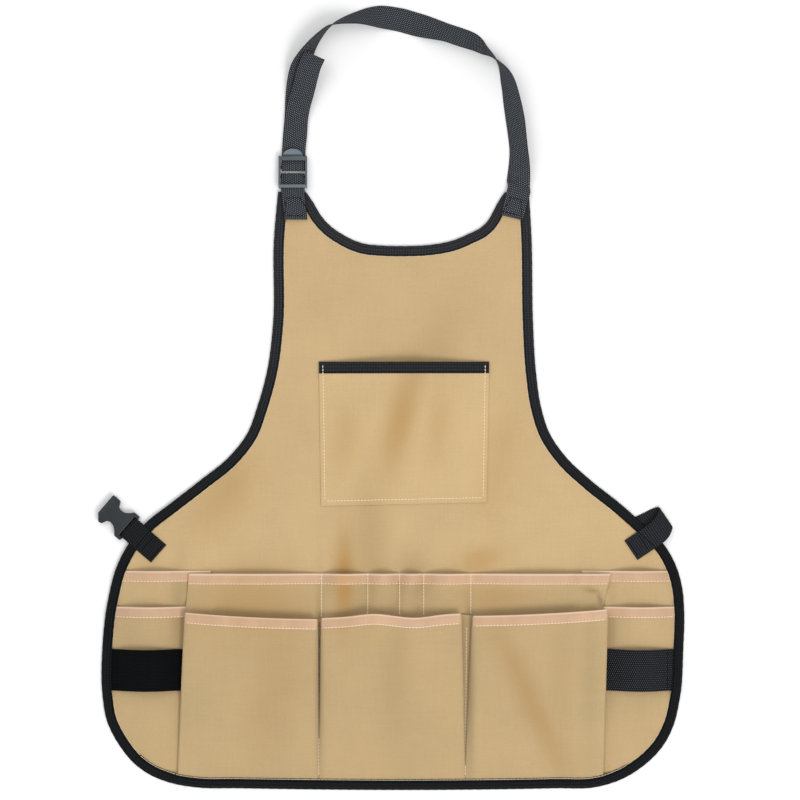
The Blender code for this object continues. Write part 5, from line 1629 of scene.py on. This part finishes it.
def rounded_solid(node, rounding, segments):
    """A copy of a moulded solid with its flat faces joined and its edges rounded."""
    bm = bmesh.new()
    bm.from_mesh(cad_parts[node].data)
    bmesh.ops.remove_doubles(bm, verts=bm.verts[:], dist=1e-6)
    bmesh.ops.dissolve_limit(
        bm, angle_limit=math.radians(2.0), verts=bm.verts[:], edges=bm.edges[:]
    )
    edges = [
        edge
        for edge in bm.edges
        if len(edge.link_faces) == 2 and edge.calc_face_angle() > math.radians(30.0)
    ]
    bmesh.ops.bevel(
        bm,
        geom=edges,
        offset=rounding,
        segments=segments,
        profile=0.5,
        affect="EDGES",
        clamp_overlap=True,
        material=-1,
    )
    return bm


def make_buckles():
    look = plastic_look()
    for node in ("waist_buckle", "ladder_lock_buckle"):
        bm = rounded_solid(node, BUCKLE_ROUNDING, 3)
        finish(f"moulded_{node}", bm, look, "plastic", [node], smooth_angle=50.0)


def stitch_shape():
    """One stitch, a metre long, wide and high, along +X."""
    bm = bmesh.new()
    bmesh.ops.create_uvsphere(bm, u_segments=6, v_segments=5, radius=0.5)
    bmesh.ops.rotate(
        bm, verts=bm.verts[:], cent=(0, 0, 0), matrix=Matrix.Rotation(math.pi / 2, 3, "Y")
    )
    for vert in bm.verts:
        vert.co.x = math.copysign(min(abs(vert.co.x) * 1.25, 0.5), vert.co.x)
    bm.verts.index_update()
    points = np.array([vert.co for vert in bm.verts])
    faces = [[vert.index for vert in face.verts] for face in bm.faces]
    bm.free()
    return points, faces


class Thread:
    """Collects the stitches of one thread colour and makes them one piece."""

    def __init__(self, scale=1.0):
        self.shape, self.faces = stitch_shape()
        self.points, self.polygons = [], []
        self.scale = scale

    def one(self, x, y, z, along, length):
        """One stitch with its middle at a place."""
        forward = Vector(along).normalized()
        side = Vector((0.0, 0.0, 1.0)).cross(forward).normalized()
        up = forward.cross(side)
        turn = np.array([forward, side, up])
        thick = stitches().thickness * self.scale
        scaled = self.shape * (length, thick, thick * 0.75)
        start = len(self.points) * len(self.shape)
        self.points.append(scaled @ turn + (x, y, z))
        self.polygons += [[start + index for index in face] for face in self.faces]

    def row(self, line, pitch=None, length=None):
        """Stitches along a line of (x, y) points, lying on the pile."""
        pitch = pitch or stitches().pitch
        length = length or stitches().length
        line = np.array(line)
        run = run_along(line)
        count = max(1, int(run[-1] / pitch))
        slack = run[-1] - count * pitch
        for k in range(count):
            middle = slack / 2 + (k + 0.5) * pitch
            ends = []
            for mark in (middle - length / 2, middle + length / 2):
                x = float(np.interp(mark, run, line[:, 0]))
                y = float(np.interp(mark, run, line[:, 1]))
                ends.append(Vector((x, y, LAY.top(x, y))))
            centre = (ends[0] + ends[1]) / 2
            z = max(LAY.top(centre.x, centre.y), centre.z)
            z += stitches().thickness * self.scale * 0.12
            along = ends[1] - ends[0]
            if abs(along.z) > 0.4 * along.length:
                along.z = 0.0
            self.one(centre.x, centre.y, z, along, length)

    def join(self, other):
        start = len(self.points) * len(self.shape)
        self.points += other.points
        self.polygons += [[start + index for index in face] for face in other.polygons]

    def piece(self, name, look, slot):
        mesh = bpy.data.meshes.new(name)
        mesh.from_pydata(np.concatenate(self.points).tolist(), [], self.polygons)
        mesh.update()
        return dress(name, mesh, look, slot, smooth_angle=80.0)


def stitches():
    return bpy.context.scene.apron_stitches


def on_tape(mouth, foot, above):
    """The line on a tape that lies this far above its lower edge."""
    run = mouth[:, :2] - foot[:, :2]
    length = np.linalg.norm(run, axis=1)[:, None]
    return foot[:, :2] + run / length * above


def clear_of_webbing(points):
    """Which places along the binding no strap, tab or loop lies over."""
    clear = points[:, 1] < SHOULDER_Y - SHOULDER_TAB_LENGTH - 0.0015
    for crossing in TAB_CROSSINGS:
        middle = share_point(*crossing)
        clear &= np.hypot(points[:, 0] - middle.x, points[:, 1] - middle.y) > 0.030
    loop_away = np.abs(points[:, 1] - HEM_Y - TOOL_LOOP_HEIGHT)
    return clear & (loop_away > TOOL_LOOP_WIDTH / 2 + 0.001)


def sew_side_tapes(thread):
    """The seams of the side pockets' tapes, where the two rows leave them bare."""
    for side, word in SIDES:
        end = 0 if side < 0 else -1
        for layer in ("back", "front"):
            low = SEAMS[f"{word}_{layer}"]
            line = on_tape(low[0], low[3], TAPE_SEAM_UP)
            edge = side_x(BINDING_WIDTH, float(line[0, 1]), side)
            row = SEAMS["upper"][0] if layer == "back" else SEAMS["lower"][0][end]
            covered = side * row[0, end, 0] + 0.001
            shown = (side * line[:, 0] < side * edge) & (side * line[:, 0] > covered)
            thread.row(line[shown])


def sew_pocket_rows(thread):
    """The seams of the rows' tapes, of the upper row's compartments down to the lower row,
    and between the lower pockets."""
    fronts, strips, shares = SEAMS["lower"]
    lower_mouth = np.concatenate([grid[0] for grid in fronts])
    low, columns = SEAMS["upper"]
    thread.row(on_tape(low[0], low[3], TAPE_SEAM_UP))
    for seam in UPPER_ROW_SEAMS[1:-1]:
        column = min(range(len(columns)), key=lambda i: abs(columns[i] - seam))
        x, top_y = low[0, column, :2]
        below = float(np.interp(x, lower_mouth[:, 0], lower_mouth[:, 1])) + 0.0006
        thread.row([(x, top_y + 0.0015), (x, below)], length=stitches().length * 1.1)
    for grid in fronts:
        thread.row(on_tape(grid[0], grid[3], TAPE_SEAM_UP)[1:-1])
    for strip in strips[1:-1]:
        middle = [(low_x + high_x) / 2 for low_x, high_x, _ in strip]
        line = [(x, lower_row_y(x, v, 0.0, BINDING_WIDTH)) for x, v in zip(middle, shares)]
        thread.row(line[3:-1])


def sew_chest_pocket(thread):
    """The seam down the chest pocket's sides and along its bottom."""
    _, place = SEAMS["chest"]
    side_in, up_in = 0.0042 / CHEST_POCKET_WIDTH, 0.0052 / CHEST_POCKET_HEIGHT
    start = 0.0008 / CHEST_POCKET_HEIGHT
    for u in (side_in, 1 - side_in):
        thread.row([place(u, v) for v in np.linspace(start, 1 - up_in, 30)])
    thread.row([place(u, 1 - up_in) for u in np.linspace(side_in, 1 - side_in, 30)])


def edge_highlight_line():
    """A painted highlight of thin light stitches along the binding's inner edge, where no webbing
    lies over it.
    """
    highlight_line = Thread(0.55)
    for line in (SKIRT_LINE, NECK_LINE):
        points, normals = line_stretch(line, 0.006, 0.994, 0.002)
        points = points + normals * (BINDING_WIDTH + 0.0004)
        bare = clear_of_webbing(points)
        for stretch in np.split(points, np.flatnonzero(np.diff(bare)) + 1):
            if len(stretch) > 3 and clear_of_webbing(stretch)[1]:
                highlight_line.row(stretch, length=stitches().pitch * 1.05)
    return highlight_line


def make_light_stitches():
    """The seams of the tapes and pockets, with the painted highlight along the binding."""
    thread = Thread()
    sew_side_tapes(thread)
    sew_pocket_rows(thread)
    sew_chest_pocket(thread)
    thread.join(edge_highlight_line())
    thread.piece("stitches_light", thread_look("thread_light", "thread", 1.0, 0.4), "satin_tape")


def make_dark_stitches():
    """The seams of the bindings and the webbing."""
    thread = Thread(0.8)
    inwards = BINDING_WIDTH - 0.0016
    for line in (SKIRT_LINE, NECK_LINE):
        points, normals = line_stretch(line, 0.004, 0.996, 0.004)
        thread.row(points + normals * inwards)
    low, _ = SEAMS["chest"]
    thread.row(on_tape(low[0], low[3], 0.0012)[1:-1])
    x = SEAMS["strap_x"]
    half = STRAP_WIDTH / 2 - 0.003
    for down in (0.008, 0.024):
        middle, y = x - STRAP_LEAN * down, SHOULDER_Y - down
        rise = half * STRAP_LEAN
        thread.row([(middle - half, y + rise), (middle + half, y - rise)])
    top_x, end_x = SEAMS["tab_x"]
    for down in (0.007, 0.026):
        x = lerp(top_x, end_x, down / SHOULDER_TAB_LENGTH)
        y = SHOULDER_Y - down
        thread.row([(x - half, y), (x + half, y)])
    centre_y = HEM_Y + TOOL_LOOP_HEIGHT
    for side, _ in SIDES:
        x = side_x(BINDING_WIDTH, centre_y, side) - side * 0.006
        reach = TOOL_LOOP_WIDTH / 2 - 0.002
        thread.row([(x, centre_y - reach), (x, centre_y + reach)])
    for start, along, across in (SEAMS["waist_tab"], SEAMS["waist_loop"]):
        for distance in (0.003, 0.016):
            middle = start + along * distance
            ends = [(middle + across * (side * half)).xy for side in (-1, 1)]
            thread.row([tuple(end) for end in ends])
    thread.piece("stitches_dark", thread_look("thread_dark", "binding", 0.7, 0.0), "binding")


class Wiring:
    """Adds nodes to a tree and joins them."""

    def __init__(self, tree):
        self.tree = tree

    def node(self, kind, inputs=None, **settings):
        made = self.tree.nodes.new(kind)
        for key, value in settings.items():
            setattr(made, key, value)
        for key, value in (inputs or {}).items():
            self.give(made.inputs[key], value)
        return made

    def give(self, socket, value):
        if isinstance(value, bpy.types.NodeSocket):
            self.tree.links.new(value, socket)
        else:
            socket.default_value = value

    def maths(self, operation, *values):
        made = self.tree.nodes.new("ShaderNodeMath")
        made.operation = operation
        for socket, value in zip(made.inputs, values):
            self.give(socket, value)
        return made.outputs[0]

    def mix(self, factor, first, second, blend="MIX"):
        made = self.tree.nodes.new("ShaderNodeMix")
        made.data_type = "RGBA"
        made.blend_type = blend
        for index, value in ((0, factor), (6, first), (7, second)):
            self.give(made.inputs[index], value)
        return made.outputs[2]

    def noise(self, place, scale, detail=2.0, roughness=0.5):
        made = self.node(
            "ShaderNodeTexNoise",
            {"Vector": place, "Scale": scale, "Detail": detail, "Roughness": roughness},
        )
        return made.outputs["Fac"]

    def stretched(self, place, scale):
        made = self.node("ShaderNodeMapping", {"Vector": place, "Scale": scale})
        return made.outputs["Vector"]

    def object_place(self):
        return self.node("ShaderNodeTexCoord").outputs["Object"]

    def piece_place(self):
        """Metres across and along the piece, from its UV map."""
        return self.node("ShaderNodeUVMap", uv_map="UVMap").outputs["UV"]

    def split(self, vector):
        return self.node("ShaderNodeSeparateXYZ", {"Vector": vector}).outputs

    def ramp(self, value, low, high):
        """0 where the value is low, 1 where it is high."""
        made = self.node(
            "ShaderNodeMapRange", {"Value": value, "From Min": low, "From Max": high}
        )
        return made.outputs["Result"]

    def cover(self, shader, colour, height, strength, distance):
        """Gives the shader its colour and its bump."""
        bump = self.node(
            "ShaderNodeBump", {"Height": height, "Strength": strength, "Distance": distance}
        )
        self.give(shader.inputs["Base Color"], colour)
        self.give(shader.inputs["Normal"], bump.outputs["Normal"])

    def group(self, tree, inputs):
        made = self.tree.nodes.new("ShaderNodeGroup")
        made.node_tree = tree
        for key, value in inputs.items():
            self.give(made.inputs[key], value)
        return made.outputs


def group_tree(name, inputs, outputs):
    """An empty shader node group with its sockets."""
    tree = bpy.data.node_groups.new(name, "ShaderNodeTree")
    for socket, kind, default in inputs:
        made = tree.interface.new_socket(socket, in_out="INPUT", socket_type=kind)
        if default is not None:
            made.default_value = default
    for socket, kind in outputs:
        tree.interface.new_socket(socket, in_out="OUTPUT", socket_type=kind)
    start = tree.nodes.new("NodeGroupInput")
    stop = tree.nodes.new("NodeGroupOutput")
    return tree, Wiring(tree), start.outputs, stop.inputs


VALUE, COLOUR, VECTOR = "NodeSocketFloat", "NodeSocketColor", "NodeSocketVector"


@functools.lru_cache(maxsize=None)
def plain_weave_group():
    """Threads that pass over and under each other."""
    tree, wiring, given, put = group_tree(
        "Plain weave",
        [("Place", VECTOR, None), ("Thread", VALUE, 0.001)],
        [("Height", VALUE)],
    )
    split = wiring.split(given["Place"])
    u = wiring.maths("DIVIDE", split["X"], given["Thread"])
    v = wiring.maths("DIVIDE", split["Y"], given["Thread"])
    across = wiring.maths("SINE", wiring.maths("MULTIPLY", u, math.pi))
    along = wiring.maths("SINE", wiring.maths("MULTIPLY", v, math.pi))
    product = wiring.maths("MULTIPLY", across, along)
    over = wiring.ramp(product, -0.25, 0.25)
    warp = wiring.maths("MULTIPLY", wiring.maths("ABSOLUTE", across), over)
    under = wiring.maths("SUBTRACT", 1.0, over)
    weft = wiring.maths("MULTIPLY", wiring.maths("ABSOLUTE", along), under)
    wiring.give(put["Height"], wiring.maths("ADD", warp, weft))
    return tree


@functools.lru_cache(maxsize=None)
def webbing_weave_group():
    """Ribs along the webbing, each broken into short threads that step sideways."""
    tree, wiring, given, put = group_tree(
        "Webbing weave",
        [("Place", VECTOR, None), ("Thread", VALUE, 0.0017)],
        [("Height", VALUE), ("Fleck", VALUE)],
    )
    split = wiring.split(given["Place"])
    u = wiring.maths("DIVIDE", split["X"], given["Thread"])
    v = wiring.maths("DIVIDE", split["Y"], given["Thread"])
    rib = wiring.maths("ABSOLUTE", wiring.maths("SINE", wiring.maths("MULTIPLY", u, math.pi)))
    stepped = wiring.maths("MULTIPLY_ADD", wiring.maths("FLOOR", u), 0.5, v)
    wave = wiring.maths("SINE", wiring.maths("MULTIPLY", stepped, 2.0 * math.pi))
    short = wiring.maths("MULTIPLY_ADD", wave, 0.5, 0.5)
    fleck = wiring.maths("MULTIPLY", rib, short)
    wiring.give(put["Height"], wiring.maths("MULTIPLY_ADD", rib, 0.5, fleck))
    wiring.give(put["Fleck"], fleck)
    return tree


@functools.lru_cache(maxsize=None)
def cloth_tone_group():
    """Uneven colour of a cloth: broad patches, thread streaks and specks."""
    tree, wiring, given, put = group_tree(
        "Cloth tone",
        [
            ("Place", VECTOR, None),
            ("Colour", COLOUR, None),
            ("Broad", VALUE, 0.1),
            ("Streaks", VALUE, 0.1),
            ("Specks", VALUE, 0.05),
        ],
        [("Colour", COLOUR), ("Grain", VALUE)],
    )
    place = given["Place"]
    broad = wiring.noise(place, 14.0, 3.0, 0.55)
    warp = wiring.noise(wiring.stretched(place, (620.0, 26.0, 26.0)), 1.0, 2.0)
    weft = wiring.noise(wiring.stretched(place, (26.0, 620.0, 26.0)), 1.0, 2.0)
    specks = wiring.noise(place, 700.0, 2.0, 0.7)
    total = 1.0
    parts = ((broad, "Broad"), (warp, "Streaks"), (weft, "Streaks"), (specks, "Specks"))
    for value, amount in parts:
        centred = wiring.maths("SUBTRACT", value, 0.5)
        total = wiring.maths("MULTIPLY_ADD", centred, given[amount], total)
    colour = wiring.mix(1.0, given["Colour"], total, "MULTIPLY")
    wiring.give(put["Colour"], colour)
    wiring.give(put["Grain"], wiring.maths("ADD", warp, weft))
    return tree


def new_look(name, roughness, sheen=0.0, sheen_roughness=0.5, specular=0.5):
    look = bpy.data.materials.new(name)
    look.use_nodes = True
    shader = look.node_tree.nodes["Principled BSDF"]
    shader.inputs["Roughness"].default_value = roughness
    shader.inputs["Sheen Weight"].default_value = sheen
    shader.inputs["Sheen Roughness"].default_value = sheen_roughness
    shader.inputs["Specular IOR Level"].default_value = specular
    return look, Wiring(look.node_tree), shader


def colour_of(name, brightness=1.0):
    base = getattr(bpy.context.scene.apron_colours, name)
    return (*[min(channel * brightness, 1.0) for channel in base], 1.0)


def canvas_look(name, brightness):
    """Khaki cotton canvas with painted shade and warm darker patches."""
    look, wiring, shader = new_look(name, 0.9, sheen=0.12, specular=0.25)
    place = wiring.object_place()
    tone = wiring.group(
        cloth_tone_group(),
        {
            "Place": place,
            "Colour": colour_of("canvas", brightness),
            "Broad": 0.20,
            "Streaks": 0.07,
            "Specks": 0.22,
        },
    )
    colour = tone["Colour"]
    # Painted shade from the patch table greys the canvas, and the warm patches tint it browner.
    for attribute, patch in (("grey", "painted_shade_colour"), ("rusty", "warm_dark_colour")):
        mark = wiring.node("ShaderNodeAttribute", attribute_name=attribute).outputs["Fac"]
        colour = wiring.mix(mark, colour, colour_of(patch, 1.0))
    weave = wiring.group(plain_weave_group(), {"Place": place, "Thread": 0.00075})
    height = wiring.maths("MULTIPLY_ADD", tone["Grain"], 0.5, weave["Height"])
    shade = wiring.maths("MULTIPLY_ADD", weave["Height"], 0.14, 0.90)
    shaded = wiring.mix(1.0, colour, shade, "MULTIPLY")
    wiring.cover(shader, shaded, height, 0.35, 0.0003)
    return look


@functools.lru_cache(maxsize=None)
def tape_look():
    """Tan satin tape with lengthwise lines and a painted highlight along its fold."""
    look, wiring, shader = new_look("satin_tape", 0.55, sheen=0.25, specular=0.4)
    place = wiring.object_place()
    around = wiring.piece_place()
    tone = wiring.group(
        cloth_tone_group(),
        {
            "Place": place,
            "Colour": colour_of("tape"),
            "Broad": 0.30,
            "Streaks": 0.10,
            "Specks": 0.10,
        },
    )
    split = wiring.split(around)
    lines = wiring.maths("SINE", wiring.maths("MULTIPLY", split["X"], 2 * math.pi / 0.0011))
    dull = wiring.noise(wiring.stretched(place, (60.0, 10.0, 10.0)), 1.0, 3.0)
    banded = wiring.mix(
        wiring.maths("MULTIPLY", dull, 0.70), tone["Colour"], colour_of("tape", 0.62)
    )
    # The warm darker patches from the patch table tint the tape browner.
    rusty = wiring.node("ShaderNodeAttribute", attribute_name="rusty").outputs["Fac"]
    banded = wiring.mix(
        wiring.maths("MULTIPLY", rusty, 0.7), banded, colour_of("warm_dark_colour", 1.15)
    )
    # Painted highlight along the tape's folded top edge, where the fold catches the light.
    fold_highlight = wiring.ramp(split["X"], TAPE_WIDTH - 0.0008, TAPE_WIDTH + 0.0004)
    colour = wiring.mix(wiring.maths("MULTIPLY", fold_highlight, 0.5), banded, colour_of("tape_fold"))
    wiring.cover(shader, colour, lines, 0.25, 0.0001)
    return look


@functools.lru_cache(maxsize=None)
def binding_look():
    """Black binding with fine ribs across it and grooves along it, with painted sheen on the bib.
    """
    look, wiring, shader = new_look("binding", 0.75, specular=0.07)
    place = wiring.object_place()
    around = wiring.piece_place()
    split = wiring.split(around)
    ribs = wiring.maths("SINE", wiring.maths("MULTIPLY", split["Y"], 2 * math.pi / 0.0017))
    grooves = wiring.maths("SINE", wiring.maths("MULTIPLY", split["X"], 2 * math.pi / 0.0034))
    rib = wiring.maths("MULTIPLY_ADD", ribs, 0.5, 0.5)
    ridge = wiring.maths("MULTIPLY_ADD", grooves, 0.35, 0.65)
    up = wiring.split(place)["Y"]
    # Painted sheen: the binding is made paler from the skirt up to the bib, where it catches more
    # light.
    wear_and_sheen = wiring.ramp(up, -0.16, 0.14)
    dark = wiring.mix(wear_and_sheen, colour_of("binding", 0.5), colour_of("binding", 1.3))
    pale = wiring.mix(wear_and_sheen, colour_of("binding", 3.5), colour_of("binding", 13.0))
    tone = wiring.group(
        cloth_tone_group(),
        {"Place": place, "Colour": dark, "Broad": 0.6, "Streaks": 0.3, "Specks": 0.4},
    )
    speckled = wiring.maths("MULTIPLY", rib, wiring.noise(place, 900.0, 2.0, 0.7))
    fleck = wiring.maths("MULTIPLY", speckled, ridge)
    height = wiring.maths("MULTIPLY_ADD", grooves, 0.5, rib)
    colour = wiring.mix(fleck, tone["Colour"], pale)
    wiring.cover(shader, colour, height, 0.7, 0.0003)
    return look


def webbing_look(name, dark, pale, thread, ribs_across=False):
    """Black webbing, its threads paler where they lie on top."""
    look, wiring, shader = new_look(name, 0.75, specular=0.05)
    place = wiring.object_place()
    around = wiring.piece_place()
    if ribs_across:
        split = wiring.split(around)
        around = wiring.node(
            "ShaderNodeCombineXYZ", {"X": split["Y"], "Y": split["X"]}
        ).outputs["Vector"]
    weave = wiring.group(webbing_weave_group(), {"Place": around, "Thread": thread})
    tone = wiring.group(
        cloth_tone_group(),
        {
            "Place": place,
            "Colour": colour_of("webbing", dark),
            "Broad": 0.5,
            "Streaks": 0.2,
            "Specks": 0.3,
        },
    )
    wear_and_sheen = wiring.maths("MULTIPLY_ADD", wiring.noise(place, 900.0, 2.0, 0.7), 1.2, 0.3)
    raised = (
        wiring.maths("MULTIPLY", weave["Height"], 0.45)
        if ribs_across
        else wiring.maths("POWER", weave["Fleck"], 1.8)
    )
    fleck = wiring.maths("MULTIPLY", raised, wear_and_sheen)
    colour = wiring.mix(fleck, tone["Colour"], colour_of("webbing", pale))
    wiring.cover(shader, colour, weave["Height"], 0.8, 0.0005)
    return look


@functools.lru_cache(maxsize=None)
def plastic_look():
    """Black moulded plastic with a fine grain, and painted highlights on its edges and at both
    ends of the ladder-lock buckle."""
    look, wiring, shader = new_look("moulded_plastic", 0.4, specular=0.35)
    place = wiring.object_place()
    grain = wiring.noise(place, 2600.0, 2.0)
    broad = wiring.noise(place, 120.0, 3.0)
    # Painted highlight on the sharper edges of the buckles.
    highlight_pointiness = wiring.node("ShaderNodeNewGeometry").outputs["Pointiness"]
    rim = wiring.ramp(highlight_pointiness, 0.52, 0.62)
    colour = wiring.mix(
        wiring.maths("MULTIPLY", broad, 0.35), colour_of("plastic"), colour_of("plastic", 1.8)
    )
    up = wiring.split(place)["Y"]
    # Painted highlights on the ladder-lock's thumb tab and bottom rail, where the glossy plastic
    # catches the light.
    for highlight_y, reach in ((ladder_y(1.16), 0.0050), (ladder_y(0.03), 0.0026)):
        apart = wiring.maths("ABSOLUTE", wiring.maths("SUBTRACT", up, highlight_y))
        painted_highlight = wiring.ramp(apart, reach, reach * 0.6)
        colour = wiring.mix(
            wiring.maths("MULTIPLY", painted_highlight, 0.8), colour, colour_of("plastic", 15.0)
        )
    colour = wiring.mix(wiring.maths("MULTIPLY", rim, 0.6), colour, colour_of("plastic", 9.0))
    rough = wiring.maths("MULTIPLY_ADD", broad, 0.2, 0.28)
    wiring.give(shader.inputs["Roughness"], rough)
    wiring.cover(shader, colour, grain, 0.15, 0.0001)
    return look


def thread_look(name, colour_name, brightness, gloss):
    """Twisted sewing thread."""
    look, wiring, shader = new_look(name, 0.6, sheen=gloss / 2, specular=gloss)
    place = wiring.object_place()
    uneven = wiring.noise(place, 180.0, 2.0)
    fine = wiring.noise(place, 2400.0, 2.0)
    factor = wiring.maths("MULTIPLY", uneven, 0.6)
    bright = colour_of(colour_name, brightness)
    dim = colour_of(colour_name, 0.7 * brightness)
    colour = wiring.mix(factor, bright, dim)
    wiring.cover(shader, colour, fine, 0.5, 0.0001)
    return look


def make_floor():
    bm = bmesh.new()
    bmesh.ops.create_grid(bm, x_segments=2, y_segments=2, size=4.0)
    bmesh.ops.translate(bm, vec=(0.0, 0.0, FLOOR_LEVEL), verts=bm.verts[:])
    mesh = bpy.data.meshes.new("floor")
    bm.to_mesh(mesh)
    bm.free()
    look, wiring, shader = new_look("floor", 0.9, specular=0.1)
    place = wiring.object_place()
    cloudy = wiring.maths("MULTIPLY", wiring.noise(place, 3.0, 2.0), 0.04)
    colour = wiring.mix(cloudy, colour_of("floor"), colour_of("floor", 0.96))
    wiring.give(shader.inputs["Base Color"], colour)
    mesh.materials.append(look)
    floor = bpy.data.objects.new("floor", mesh)
    bpy.context.scene.collection.objects.link(floor)


def make_lights():
    scene = bpy.context.scene
    world = bpy.data.worlds.new("studio")
    world.use_nodes = True
    background = world.node_tree.nodes["Background"]
    background.inputs["Color"].default_value = (1.0, 1.0, 1.0, 1.0)
    background.inputs["Strength"].default_value = WORLD_STRENGTH
    scene.world = world
    for name, spot, size, power in LIGHTS:
        lamp = bpy.data.lights.new(name, "AREA")
        lamp.shape = "SQUARE"
        lamp.size = size
        lamp.energy = power
        light = bpy.data.objects.new(name, lamp)
        light.location = spot
        light.rotation_euler = (-Vector(spot)).to_track_quat("-Z", "Y").to_euler()
        scene.collection.objects.link(light)


def make_stage():
    """A plain pale floor, soft light and a camera straight above."""
    make_floor()
    make_lights()
    scene = bpy.context.scene
    data = bpy.data.cameras.new("camera")
    data.sensor_width = 36.0
    data.lens = data.sensor_width * CAMERA_SPOT[2] / SEEN_WIDTH
    camera = bpy.data.objects.new("camera", data)
    camera.location = CAMERA_SPOT
    scene.collection.objects.link(camera)
    scene.camera = camera
    scene.view_settings.view_transform = "Standard"


class APRON_OT_body_panel(bpy.types.Operator):
    """Lays the canvas body panel"""

    bl_idname = "apron.body_panel"
    bl_label = "Body Panel"
    bl_options = {"REGISTER", "UNDO"}

    def execute(self, context):
        make_body_panel()
        return {"FINISHED"}


class APRON_OT_side_pockets(bpy.types.Operator):
    """Lays the back and front pockets of both sides"""

    bl_idname = "apron.side_pockets"
    bl_label = "Side Pockets"
    bl_options = {"REGISTER", "UNDO"}

    def execute(self, context):
        make_side_pockets()
        return {"FINISHED"}


class APRON_OT_upper_row(bpy.types.Operator):
    """Lays the upper pocket row and its mouth tape"""

    bl_idname = "apron.upper_row"
    bl_label = "Upper Pocket Row"
    bl_options = {"REGISTER", "UNDO"}

    def execute(self, context):
        make_upper_row()
        return {"FINISHED"}


class APRON_OT_tool_loops(bpy.types.Operator):
    """Lays the wide webbing loops"""

    bl_idname = "apron.tool_loops"
    bl_label = "Tool Loops"
    bl_options = {"REGISTER", "UNDO"}

    def execute(self, context):
        make_tool_loops()
        return {"FINISHED"}


class APRON_OT_lower_row(bpy.types.Operator):
    """Lays the pleated pocket row and its mouth tapes"""

    bl_idname = "apron.lower_row"
    bl_label = "Lower Pocket Row"
    bl_options = {"REGISTER", "UNDO"}

    def execute(self, context):
        make_lower_row()
        return {"FINISHED"}


class APRON_OT_chest_pocket(bpy.types.Operator):
    """Lays the chest pocket and its mouth binding"""

    bl_idname = "apron.chest_pocket"
    bl_label = "Chest Pocket"
    bl_options = {"REGISTER", "UNDO"}

    def execute(self, context):
        make_chest_pocket()
        return {"FINISHED"}


class APRON_OT_bindings(bpy.types.Operator):
    """Folds the binding over the edges"""

    bl_idname = "apron.bindings"
    bl_label = "Bindings"
    bl_options = {"REGISTER", "UNDO"}

    def execute(self, context):
        make_bindings()
        return {"FINISHED"}


class APRON_OT_neck_strap(bpy.types.Operator):
    """Lays the neck strap and its shoulder tab"""

    bl_idname = "apron.neck_strap"
    bl_label = "Neck Strap"
    bl_options = {"REGISTER", "UNDO"}

    def execute(self, context):
        make_neck_strap()
        make_shoulder_tab()
        return {"FINISHED"}


class APRON_OT_waist_webbing(bpy.types.Operator):
    """Lays the waist tab and the waist loop"""

    bl_idname = "apron.waist_webbing"
    bl_label = "Waist Webbing"
    bl_options = {"REGISTER", "UNDO"}

    def execute(self, context):
        make_waist_tab()
        make_waist_loop()
        return {"FINISHED"}


class APRON_OT_buckles(bpy.types.Operator):
    """Rounds the moulded buckles"""

    bl_idname = "apron.buckles"
    bl_label = "Buckles"
    bl_options = {"REGISTER", "UNDO"}

    def execute(self, context):
        make_buckles()
        return {"FINISHED"}


class APRON_OT_stitches(bpy.types.Operator):
    """Sews the light and the dark seams"""

    bl_idname = "apron.stitches"
    bl_label = "Stitches"
    bl_options = {"REGISTER", "UNDO"}

    def execute(self, context):
        make_light_stitches()
        make_dark_stitches()
        return {"FINISHED"}


class APRON_OT_stage(bpy.types.Operator):
    """Sets the floor, the lights and the camera"""

    bl_idname = "apron.stage"
    bl_label = "Stage"
    bl_options = {"REGISTER", "UNDO"}

    def execute(self, context):
        make_stage()
        return {"FINISHED"}


OPERATORS = (
    APRON_OT_body_panel,
    APRON_OT_side_pockets,
    APRON_OT_upper_row,
    APRON_OT_tool_loops,
    APRON_OT_lower_row,
    APRON_OT_chest_pocket,
    APRON_OT_bindings,
    APRON_OT_neck_strap,
    APRON_OT_waist_webbing,
    APRON_OT_buckles,
    APRON_OT_stitches,
    APRON_OT_stage,
)


class APRON_PT_pieces(bpy.types.Panel):
    """Lists the pieces of the apron and their sizes"""

    bl_idname = "APRON_PT_pieces"
    bl_label = "Gardening Apron"
    bl_space_type = "VIEW_3D"
    bl_region_type = "UI"
    bl_category = "Apron"

    def draw(self, context):
        for group in ("apron_sizes", "apron_stitches", "apron_colours"):
            values = getattr(context.scene, group)
            column = self.layout.column()
            for name in values.bl_rna.properties.keys():
                if name not in ("rna_type", "name"):
                    column.prop(values, name)
        for made in OPERATORS:
            self.layout.operator(made.bl_idname)


GROUPS = (
    ("apron_sizes", ApronSizes),
    ("apron_stitches", ApronStitches),
    ("apron_colours", ApronColours),
)


def register():
    for name, group in GROUPS:
        bpy.utils.register_class(group)
        setattr(bpy.types.Scene, name, bpy.props.PointerProperty(type=group))
    for made in (*OPERATORS, APRON_PT_pieces):
        bpy.utils.register_class(made)


def unregister():
    for made in (APRON_PT_pieces, *reversed(OPERATORS)):
        bpy.utils.unregister_class(made)
    for name, group in reversed(GROUPS):
        delattr(bpy.types.Scene, name)
        bpy.utils.unregister_class(group)


def main():
    register()
    for made in OPERATORS:
        group, name = made.bl_idname.split(".")
        getattr(getattr(bpy.ops, group), name)()


if __name__ == "__main__":
    main()
